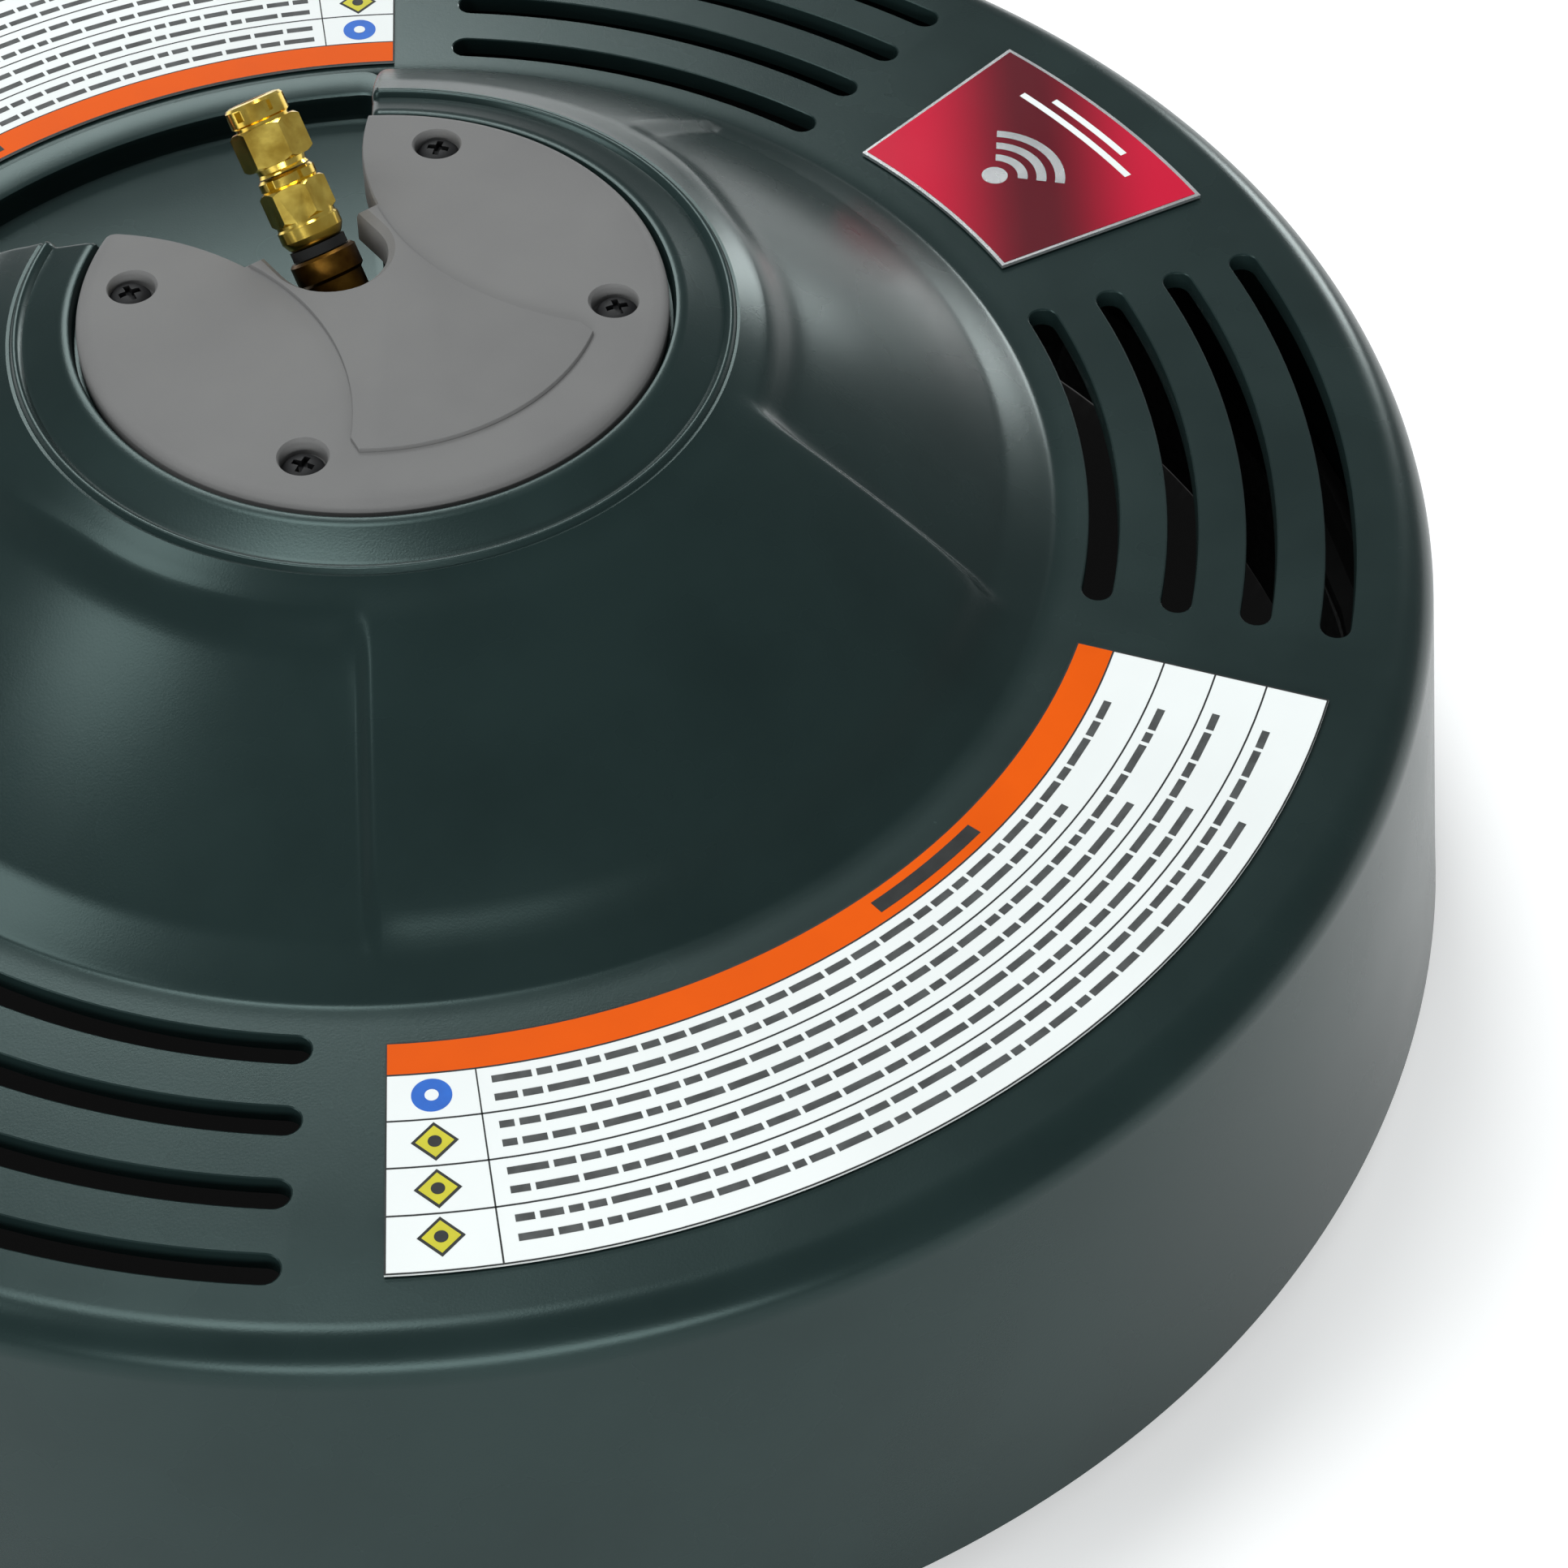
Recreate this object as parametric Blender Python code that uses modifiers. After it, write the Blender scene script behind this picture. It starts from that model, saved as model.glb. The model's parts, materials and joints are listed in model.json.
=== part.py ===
# Rotary surface cleaner. Metres, Z up, floor at Z = 0, the lance points to +Y.
# The shroud stands on its brush skirt. Under it a spray bar spins on a swivel that the lance feeds.

from math import cos, hypot, pi, radians, sin, tan

import bmesh
import bpy
from mathutils import Matrix

# Fits
GAP = 0.0003                    # between pieces that touch or fit in each other
SHELL_STEPS = 48
ROUND_STEPS = 24
SMALL_STEPS = 12

# Shroud
RIM_RADIUS = 0.195
WALL = 0.004
DRAFT = radians(7.5)
EDGE_FILLET = 0.008
WALL_HEIGHT = 0.080
SKIRT_REACH = 0.006             # brush below the rim
DECK_Z = SKIRT_REACH + WALL_HEIGHT
DOME_RADIUS = 0.118
DOME_HEIGHT = 0.041
DOME_BULGE = 0.0025
DOME_SPANS = 5
LAND_STEP = 0.0015              # from the ring down to the land that carries the cover
LAND_LIP = 0.0015               # land's outer edge inside the ring
WELL_DEPTH = 0.006              # well floor below the deck
CHANNEL_HALF_ANGLE = radians(33.5)
CHANNEL_END = 0.112
CHANNEL_RISE = 0.0005           # channel floor above the well floor

# Vent slots, four groups of four
SLOT_COUNT = 4
SLOT_FIRST = 0.1267
SLOT_PITCH = 0.01387
SLOT_WIDTH = 0.00525
SLOT_START = radians(15.5)      # from the X axis
SLOT_END = radians(50.2)
SLOT_SPANS = 6

# Labels on the deck
LABEL_THICKNESS = 0.0004
LABEL_INNER = 0.1260
LABEL_OUTER = 0.1700
LABEL_REAR_SHIFT = -0.005       # the rear label sits nearer the dome
LABEL_HALF_ANGLE = radians(34.5)
PLATE_HALF_ANGLE = radians(9.6)
PLATE_THICKNESS = 0.0008

# Hub cover and its screws
COVER_RADIUS = 0.0510
COVER_MOAT = 0.0100             # ring outside the cover
COVER_REST = 0.0045             # cover's edge carried by the land round the well
COVER_TOP = 0.0468              # above the deck
COVER_EDGE_DROP = 0.0040
COVER_CROWN_DROP = 0.0010
PANEL_INSET = 0.0118            # middle panel's edge inside the cover's edge
PANEL_RISE = 0.0004             # middle panel above the lobes
LOBE_RADIUS = 0.0503
LOBE_X = 0.0615
LOBE_Y = 0.0046
NOTCH_Y = 0.019
INLET_SLOT_RADIUS = 0.0095
INLET_SLOT_Y = 0.0125
POST_INSET = 0.0096             # from the cover's edge
POST_RADIUS = 0.0060
POST_ANGLE = radians(50)        # each side of the Y axis
COUNTERBORE_RADIUS = 0.0040
COUNTERBORE_FLOOR = 0.0022      # cover left under the screw head
SCREW_SHANK = 0.0019
SCREW_HEAD = 0.0036
SCREW_HEAD_HEIGHT = 0.0020
SCREW_BITE = 0.0160

# Inlet fitting, measured along its tilted axis from the elbow's knee
INLET_TILT = radians(50)
KNEE_Z = DECK_Z + 0.0248
ELBOW_REACH = 0.0248
ELBOW_BRANCH = 0.0060
ELBOW_LEG = 0.0070
ELBOW_KNEE = 0.0076
SOCKET_RADIUS = 0.0045
SOCKET_DEPTH = 0.0090
WASHER_THICKNESS = 0.0014
WASHER_RADIUS = 0.0058
ADAPTER_ROUND = 0.00565
ADAPTER_ROUND_LENGTH = 0.0045
ADAPTER_HEX = 0.0120            # across corners
ADAPTER_HEX_LENGTH = 0.0084
ADAPTER_TAIL = 0.0080
PLUG_NECK = 0.00495
PLUG_NECK_LENGTH = 0.0016
PLUG_HEX = 0.0128
PLUG_HEX_LENGTH = 0.0070
PLUG_TIP = 0.0053
PLUG_TIP_LENGTH = 0.0044
PLUG_TAIL = 0.0055
FILTER_THICKNESS = 0.0008
WATER_BORE = 0.0025

# Swivel, heights above the floor follow the well floor
FLANGE_EDGE = 0.0050            # outside the bolt circle
FLANGE_THICKNESS = 0.0050
HOUSING_NECK = 0.0150
HOUSING_NECK_HEIGHT = 0.0137
HOUSING_WALL = 0.0040           # round the bearings
HOUSING_DROP = 0.0360           # body below the flange
BEARING_OUTER = 0.0150
BEARING_HEIGHT = 0.0090
BEARING_LEAD = 0.0005           # housing shoulder to upper bearing
SPACER_HEIGHT = 0.0140
SPACER_WALL = 0.0030
CIRCLIP_THICKNESS = 0.0010
CIRCLIP_BITE = 0.0012
CIRCLIP_WIDTH = 0.0036
CIRCLIP_OPENING = radians(50)
SEAL_OUTER = 0.0110
SEAL_HEIGHT = 0.0044
LEG_SEAT_HEIGHT = 0.0035        # web between the shaft's chamber and the elbow's socket
SHAFT_RADIUS = 0.0070
SHAFT_SHOULDER = 0.0090
SHAFT_BORE = 0.0030
SHAFT_THREAD = 0.0060
SHAFT_TAIL = 0.0090             # thread below the hub

# Clamping plate, bolts and nuts
CLAMP_EDGE = 0.0100             # outside the bolt circle
CLAMP_THICKNESS = 0.0025
BOLT_COUNT = 4
BOLT_INSET = 0.0055             # bolt circle outside the housing
BOLT_SHANK = 0.0025
BOLT_HEAD = 0.0092              # across corners
BOLT_HEAD_HEIGHT = 0.0035
BOLT_END = 0.0020               # thread past the nut
NUT_HEIGHT = 0.0040

# Spray bar
ARM_DROP = 0.0074               # arms below the top of the hub
ARM_RADIUS = 0.0050
ARM_BORE = 0.0034
ARM_SOCKET_BOTTOM = 0.0093
NOZZLE_CIRCLE = 0.1500
HUB_RADIUS = 0.0160
HUB_CLEARANCE = 0.0009          # housing to hub
HUB_HEIGHT = 0.0154
HUB_NUT = 0.0230                # across corners
HUB_NUT_HEIGHT = 0.0062
HOLDER_RADIUS = 0.0075
HOLDER_HALF_HEIGHT = 0.0100
NOZZLE_TILT = radians(15)
ARM_OVERLAP = 0.0045            # of the arm inside the nozzle holder
TIP_RADIUS = 0.0055
TIP_NOSE = 0.0030
TIP_LENGTH = 0.0060
TIP_SPIGOT = 0.0035
TIP_SPIGOT_LENGTH = 0.0040
TIP_ORIFICE = 0.0008

# Brush skirt
BRUSH_OUTER = 0.1842
BRUSH_THICKNESS = 0.0050
BRUSH_HEIGHT = 0.0280
RETAINER_BOTTOM = 0.0120
RETAINER_HEIGHT = 0.0280
RETAINER_LIP = 0.0027
RETAINER_WALL = 0.0030
SKIRT_SCREWS = 8
SKIRT_SCREW_Z = 0.0357
SKIRT_SCREW_SHANK = 0.0016
SKIRT_SCREW_HEAD = 0.0032
SKIRT_SCREW_HEAD_HEIGHT = 0.0018
SKIRT_SCREW_BITE = 0.0024

# Worked out
RIM_Z = SKIRT_REACH
FLOOR_TOP = DECK_Z - WELL_DEPTH
FLOOR_UNDER = FLOOR_TOP - WALL
LAND_Z = DECK_Z + DOME_HEIGHT - LAND_STEP
RING_RADIUS = COVER_RADIUS + COVER_MOAT
WELL_RADIUS = COVER_RADIUS - COVER_REST
PANEL_RADIUS = COVER_RADIUS - PANEL_INSET
POST_CIRCLE = COVER_RADIUS - POST_INSET
HOUSING_BODY = BEARING_OUTER + HOUSING_WALL
BOLT_CIRCLE = HOUSING_BODY + BOLT_INSET
FLANGE_RADIUS = BOLT_CIRCLE + FLANGE_EDGE
CLAMP_RADIUS = BOLT_CIRCLE + CLAMP_EDGE
CHANNEL_FLOOR = FLOOR_TOP + CHANNEL_RISE
FLANGE_BOTTOM = FLOOR_TOP + GAP
FLANGE_TOP = FLANGE_BOTTOM + FLANGE_THICKNESS
HOUSING_TOP = FLANGE_TOP + HOUSING_NECK_HEIGHT
HOUSING_BOTTOM = FLANGE_BOTTOM - HOUSING_DROP
HUB_TOP_Z = HOUSING_BOTTOM - HUB_CLEARANCE
HUB_BOTTOM_Z = HUB_TOP_Z - HUB_HEIGHT
ARM_Z = HUB_TOP_Z - ARM_DROP
SHAFT_END_Z = HUB_BOTTOM_Z - SHAFT_TAIL
BEARING_SHOULDER = FLANGE_BOTTOM
UPPER_BEARING_Z = BEARING_SHOULDER - BEARING_LEAD - BEARING_HEIGHT
SPACER_Z = UPPER_BEARING_Z - GAP - SPACER_HEIGHT
LOWER_BEARING_Z = SPACER_Z - GAP - BEARING_HEIGHT
CIRCLIP_Z = LOWER_BEARING_Z - 2 * GAP - CIRCLIP_THICKNESS
SEAL_TOP = BEARING_SHOULDER + GAP + SEAL_HEIGHT
SHAFT_TOP = SEAL_TOP + 0.0018
LEG_SEAT_Z = SHAFT_TOP + GAP + LEG_SEAT_HEIGHT
CLAMP_TOP = FLOOR_UNDER - GAP
NUT_TOP = CLAMP_TOP - CLAMP_THICKNESS - GAP
COVER_BOTTOM = LAND_Z + GAP
CLIP_OUTER = BEARING_OUTER + CIRCLIP_BITE


def start_scene():
    for obj in list(bpy.data.objects):
        bpy.data.objects.remove(obj, do_unlink=True)


def collection(name):
    group = bpy.data.collections.new(name)
    bpy.context.scene.collection.children.link(group)
    return group


def finish(name, colour, roughness, metallic=0.0):
    mat = bpy.data.materials.new(name)
    mat.use_nodes = True
    shader = mat.node_tree.nodes["Principled BSDF"]
    shader.inputs["Base Color"].default_value = (*colour, 1.0)
    shader.inputs["Roughness"].default_value = roughness
    shader.inputs["Metallic"].default_value = metallic
    return mat


start_scene()
parts = collection("surface_cleaner")
tools = collection("cutters")
shell_plastic = finish("shell_plastic", (0.060, 0.090, 0.088), 0.45)
cover_plastic = finish("cover_plastic", (0.215, 0.212, 0.212), 0.55)
brass = finish("brass", (0.55, 0.42, 0.08), 0.25, 1.0)
dark_brass = finish("dark_brass", (0.20, 0.10, 0.03), 0.40, 1.0)
stainless = finish("stainless", (0.60, 0.60, 0.58), 0.30, 1.0)
zinc = finish("zinc", (0.50, 0.50, 0.48), 0.40, 1.0)
rubber = finish("rubber", (0.02, 0.02, 0.02), 0.80)
bristle = finish("bristle", (0.03, 0.03, 0.03), 0.90)
label_film = finish("label_film", (0.75, 0.77, 0.76), 0.40)
plate_red = finish("plate_red", (0.45, 0.00, 0.03), 0.25)


def place(name, mesh, mat, parent=None):
    obj = bpy.data.objects.new(name, mesh)
    if mat:
        mesh.materials.clear()
        mesh.materials.append(mat)
        parts.objects.link(obj)
    else:
        obj.hide_render = True
        obj.display_type = "WIRE"
        tools.objects.link(obj)
    obj.parent = parent
    return obj


def empty(name, location, rotation=(0, 0, 0), parent=None):
    obj = bpy.data.objects.new(name, None)
    obj.location = location
    obj.rotation_euler = rotation
    obj.parent = parent
    tools.objects.link(obj)
    return obj


def turned(name, profile, mat=None, steps=ROUND_STEPS, closed=True, wall=0.0, parent=None):
    # profile: (radius, z) points down the outer side, then up the inner side if it is closed
    mesh = bpy.data.meshes.new(name)
    ends = [(k, k + 1) for k in range(len(profile) - 1)]
    if closed:
        ends.append((len(profile) - 1, 0))
    mesh.from_pydata([(r, 0, z) for r, z in profile], ends, [])
    obj = place(name, mesh, mat, parent)
    screw = obj.modifiers.new("turn", "SCREW")
    screw.steps = screw.render_steps = steps
    screw.use_merge_vertices = True
    screw.merge_threshold = 0.00001
    screw.use_smooth_shade = False
    if wall:
        shell = obj.modifiers.new("wall", "SOLIDIFY")
        shell.thickness = wall
        shell.offset = -1
        shell.use_even_offset = True
    return obj


def solid(name, profile, mat=None, steps=ROUND_STEPS, parent=None):
    # a turned body whose profile starts and ends on the axis
    return turned(name, profile, mat, steps, closed=False, parent=parent)


def ring(name, inner, outer, low, high, mat=None, steps=ROUND_STEPS, parent=None):
    return turned(name, [(outer, high), (outer, low), (inner, low), (inner, high)], mat, steps, parent=parent)


def cylinder(name, radius, low, high, steps=ROUND_STEPS, centre=(0, 0), mat=None, turn=None, parent=None):
    mesh = bpy.data.meshes.new(name)
    body = bmesh.new()
    bmesh.ops.create_cone(body, cap_ends=True, segments=steps, radius1=radius, radius2=radius, depth=high - low)
    bmesh.ops.translate(body, vec=(*centre, (low + high) / 2), verts=body.verts)
    if turn:
        body.transform(turn)
    body.to_mesh(mesh)
    body.free()
    return place(name, mesh, mat, parent)


def block(name, low, high):
    mesh = bpy.data.meshes.new(name)
    body = bmesh.new()
    bmesh.ops.create_cube(body, size=1)
    for vert in body.verts:
        vert.co = [a + (c + 0.5) * (b - a) for a, b, c in zip(low, high, vert.co)]
    body.to_mesh(mesh)
    body.free()
    return place(name, mesh, None)


def prism(name, outlines, low, high, mat=None):
    # flat outlines, each a list of (x, y), filled and raised from low to high
    curve = bpy.data.curves.new(name, "CURVE")
    curve.dimensions = "2D"
    curve.fill_mode = "BOTH"
    curve.extrude = (high - low) / 2
    for outline in outlines:
        spline = curve.splines.new("POLY")
        spline.points.add(len(outline) - 1)
        for point, (x, y) in zip(spline.points, outline):
            point.co = (x, y, 0, 1)
        spline.use_cyclic_u = True
    drawn = bpy.data.objects.new(name + "_outline", curve)
    tools.objects.link(drawn)
    mesh = bpy.data.meshes.new_from_object(drawn.evaluated_get(bpy.context.evaluated_depsgraph_get()))
    bpy.data.objects.remove(drawn, do_unlink=True)
    body = bmesh.new()
    body.from_mesh(mesh)
    bmesh.ops.remove_doubles(body, verts=body.verts, dist=0.000001)
    bmesh.ops.translate(body, vec=(0, 0, (low + high) / 2), verts=body.verts)
    bmesh.ops.recalc_face_normals(body, faces=body.faces)
    body.to_mesh(mesh)
    body.free()
    return place(name, mesh, mat)


def combine(target, operation, *others):
    for other in others:
        step = target.modifiers.new(other.name, "BOOLEAN")
        step.operation = operation
        step.solver = "EXACT"
        step.object = other
    return target


def cut(target, *others):
    return combine(target, "DIFFERENCE", *others)


def join(target, *others):
    return combine(target, "UNION", *others)


def baked(obj):
    # the mesh with its modifiers applied, for pieces that share it
    graph = bpy.context.evaluated_depsgraph_get()
    mesh = bpy.data.meshes.new_from_object(obj.evaluated_get(graph))
    bpy.data.objects.remove(obj, do_unlink=True)
    return mesh


def polar(radius, angle):
    return (radius * cos(angle), radius * sin(angle))


def arc(radius, start, end, spans, centre=(0, 0)):
    points = []
    for k in range(spans + 1):
        x, y = polar(radius, start + (end - start) * k / spans)
        points.append((centre[0] + x, centre[1] + y))
    return points


def band(inner, outer, start, end, spans):
    return arc(outer, start, end, spans) + arc(inner, end, start, spans)


def wall_radius(z):
    # outer face of the tapered side wall
    return RIM_RADIUS - (z - RIM_Z) * tan(DRAFT)


def wall_inside(z):
    return wall_radius(z) - WALL / cos(DRAFT)


def dome_profile():
    # from the ring down to the deck, a little fuller than a straight cone
    points = []
    for k in range(DOME_SPANS + 1):
        share = k / DOME_SPANS
        bulge = DOME_BULGE * sin(pi * share)
        points.append((RING_RADIUS + (DOME_RADIUS - RING_RADIUS) * share + bulge / 2,
                       DECK_Z + DOME_HEIGHT * (1 - share) + bulge))
    return points


def shroud_profile(hole):
    fillet_z = DECK_Z - EDGE_FILLET
    fillet_r = wall_radius(fillet_z + EDGE_FILLET * sin(DRAFT)) - EDGE_FILLET * cos(DRAFT)
    edge = arc(EDGE_FILLET, pi / 2, DRAFT, 4, (fillet_r, fillet_z))
    well = [(hole, FLOOR_TOP), (WELL_RADIUS, FLOOR_TOP), (WELL_RADIUS, LAND_Z), (RING_RADIUS - LAND_LIP, LAND_Z)]
    return well + dome_profile() + edge + [(RIM_RADIUS, RIM_Z)]


def channel_block():
    # solid from which the lance channel is cut, kept inside the dome's skin
    half = CHANNEL_HALF_ANGLE + WALL / ((WELL_RADIUS + CHANNEL_END) / 2)
    outline = band(WELL_RADIUS + WALL / 2, CHANNEL_END + WALL, pi / 2 - half, pi / 2 + half, 8)
    body = prism("channel_block", [outline], CHANNEL_FLOOR - WALL, DECK_Z + DOME_HEIGHT)
    skin = [(r, z - WALL / 2) for r, z in dome_profile()]
    low = CHANNEL_FLOOR - 2 * WALL
    inside = [(0, LAND_Z - WALL / 2), (RING_RADIUS - WALL / 2, LAND_Z - WALL / 2)] + skin[1:]
    inside += [(DOME_RADIUS + 2 * WALL, DECK_Z - WALL / 2), (DOME_RADIUS + 2 * WALL, low), (0, low)]
    return combine(body, "INTERSECT", solid("dome_inside", inside, steps=SHELL_STEPS))


def channel_space():
    outline = band(WELL_RADIUS * 0.9, CHANNEL_END, pi / 2 - CHANNEL_HALF_ANGLE, pi / 2 + CHANNEL_HALF_ANGLE, 8)
    return prism("channel_space", [outline], CHANNEL_FLOOR, DECK_Z + 2 * DOME_HEIGHT)


def slot_outlines():
    outlines = []
    half = SLOT_WIDTH / 2
    for side in (0, pi):
        for sign in (-1, 1):
            for k in range(SLOT_COUNT):
                mid = SLOT_FIRST + k * SLOT_PITCH
                inset = half / mid
                start, end = sorted((side + sign * SLOT_START, side + sign * SLOT_END))
                start, end = start + inset, end - inset
                outline = arc(mid + half, start, end, SLOT_SPANS)
                outline += arc(half, end, end + pi, 4, polar(mid, end))[1:-1]
                outline += arc(mid - half, end, start, SLOT_SPANS)
                outline += arc(half, start + pi, start + 2 * pi, 4, polar(mid, start))[1:-1]
                outlines.append(outline)
    return outlines


def post_places():
    return [polar(POST_CIRCLE, side + sign * POST_ANGLE) for side in (pi / 2, -pi / 2) for sign in (-1, 1)]


def bolt_places():
    step = 2 * pi / BOLT_COUNT
    return [polar(BOLT_CIRCLE, (k + 0.5) * step) for k in range(BOLT_COUNT)]


def skirt_screw_frames():
    # each frame's Z points outwards through the middle of a facet
    step = 2 * pi / SHELL_STEPS
    frames = []
    for k in range(SKIRT_SCREWS):
        angle = (k * SHELL_STEPS // SKIRT_SCREWS + 0.5) * step
        frames.append((angle, Matrix.Rotation(angle, 4, "Z") @ Matrix.Rotation(pi / 2, 4, "Y")))
    return frames


def facet_radius(radius):
    return radius * cos(pi / SHELL_STEPS)


def make_shroud():
    body = turned("shroud", shroud_profile(HOUSING_BODY + GAP), shell_plastic, SHELL_STEPS, closed=False, wall=WALL)
    join(body, channel_block())
    for k, place_xy in enumerate(post_places()):
        join(body, cylinder(f"post_{k}", POST_RADIUS, FLOOR_TOP - WALL / 2, LAND_Z, SMALL_STEPS, place_xy))
    cut(body, channel_space())
    cut(body, prism("slot_cutter", slot_outlines(), DECK_Z - 2 * WALL, DECK_Z + WALL))
    bite = LAND_Z - SCREW_BITE - 2 * GAP
    for k, place_xy in enumerate(post_places()):
        cut(body, cylinder(f"pilot_{k}", SCREW_SHANK + GAP, bite, LAND_Z + WALL, SMALL_STEPS, place_xy))
    for k, place_xy in enumerate(bolt_places()):
        cut(body, cylinder(f"floor_hole_{k}", BOLT_SHANK + GAP, FLOOR_UNDER - WALL, FLOOR_TOP + WALL,
                           SMALL_STEPS, place_xy))
    wall_face = facet_radius(wall_inside(SKIRT_SCREW_Z))
    for k, (angle, frame) in enumerate(skirt_screw_frames()):
        lifted = Matrix.Translation((0, 0, SKIRT_SCREW_Z)) @ frame
        cut(body, cylinder(f"skirt_pilot_{k}", SKIRT_SCREW_SHANK + GAP, wall_face - WALL,
                           wall_face + SKIRT_SCREW_BITE + GAP, SMALL_STEPS, turn=lifted))


def cover_profile():
    top = DECK_Z + COVER_TOP - PANEL_RISE
    edge = top - COVER_EDGE_DROP
    return [(0, top), (COVER_RADIUS * 0.6, top - COVER_CROWN_DROP * 0.3),
            (COVER_RADIUS * 0.8, top - COVER_CROWN_DROP), (COVER_RADIUS * 0.93, top - COVER_CROWN_DROP * 2),
            (COVER_RADIUS * 0.985, edge), (COVER_RADIUS, edge - COVER_CROWN_DROP * 2),
            (COVER_RADIUS, COVER_BOTTOM), (0, COVER_BOTTOM)]


def lobes(name, low, high):
    return [cylinder(f"{name}_{k}", LOBE_RADIUS, low, high, 2 * SHELL_STEPS, (side * LOBE_X, LOBE_Y))
            for k, side in enumerate((-1, 1))]


def make_cover():
    body = solid("hub_cover", cover_profile(), cover_plastic, SHELL_STEPS)
    top = DECK_Z + COVER_TOP
    over = top + WALL
    under = COVER_BOTTOM - WALL
    panel = cylinder("middle_panel", PANEL_RADIUS, COVER_BOTTOM + WALL / 2, top, SHELL_STEPS)
    cut(panel, *lobes("panel_lobe", under, over + WALL))
    join(body, panel)
    notch = block("notch", (-COVER_RADIUS, NOTCH_Y, under), (COVER_RADIUS, 2 * COVER_RADIUS, over))
    cut(notch, *lobes("notch_lobe", under - WALL, over + WALL))
    slot = cylinder("inlet_slot", INLET_SLOT_RADIUS, under, over, ROUND_STEPS, (0, INLET_SLOT_Y))
    mouth = block("inlet_mouth", (-INLET_SLOT_RADIUS, INLET_SLOT_Y, under), (INLET_SLOT_RADIUS, NOTCH_Y + WALL, over))
    cut(body, notch, slot, mouth)
    seat = COVER_BOTTOM + COUNTERBORE_FLOOR
    for k, place_xy in enumerate(post_places()):
        cut(body, cylinder(f"counterbore_{k}", COUNTERBORE_RADIUS, seat, over, ROUND_STEPS, place_xy))
        cut(body, cylinder(f"cover_hole_{k}", SCREW_SHANK + GAP, under, seat + GAP, SMALL_STEPS, place_xy))


def pan_screw(name, shank, head, head_height, length):
    # head on top, its underside at z = 0
    profile = [(0, head_height), (head * 0.7, head_height), (head, head_height * 0.5), (head, 0),
               (shank, 0), (shank, -length), (0, -length)]
    return baked(solid(name, profile, steps=SMALL_STEPS))


def hexagon(name, corners, low, high, parent=None):
    return cylinder(name, corners / 2, low, high, 6, parent=parent)


def make_cover_screws():
    length = COUNTERBORE_FLOOR + 2 * GAP + SCREW_BITE - GAP
    mesh = pan_screw("cover_screw", SCREW_SHANK, SCREW_HEAD, SCREW_HEAD_HEIGHT, length)
    for k, (x, y) in enumerate(post_places()):
        screw = place(f"cover_screw_{k + 1}", mesh, zinc)
        screw.location = (x, y, COVER_BOTTOM + COUNTERBORE_FLOOR + GAP)


def make_elbow():
    tilt = Matrix.Rotation(INLET_TILT - pi / 2, 4, "X")
    body = cylinder("inlet_elbow", ELBOW_LEG, LEG_SEAT_Z + GAP - KNEE_Z, 0, mat=dark_brass)
    body.location = (0, 0, KNEE_Z)
    knee = empty("knee", (0, 0, KNEE_Z))
    profile = [(0, ELBOW_KNEE)] + [(ELBOW_KNEE * sin(a), ELBOW_KNEE * cos(a))
                                   for a in (pi * k / 8 for k in range(1, 8))] + [(0, -ELBOW_KNEE)]
    join(body, solid("elbow_knee", profile, parent=knee))
    join(body, cylinder("elbow_branch", ELBOW_BRANCH, 0, ELBOW_REACH, turn=tilt, parent=knee))
    cut(body, cylinder("elbow_socket", SOCKET_RADIUS, ELBOW_REACH - SOCKET_DEPTH, 2 * ELBOW_REACH, turn=tilt,
                       parent=knee))
    cut(body, cylinder("elbow_bore", WATER_BORE, 0, 2 * ELBOW_REACH, SMALL_STEPS, turn=tilt, parent=knee))
    cut(body, cylinder("leg_bore", WATER_BORE * 1.1, -2 * ELBOW_REACH, WATER_BORE / 2, SMALL_STEPS, parent=knee))


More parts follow.
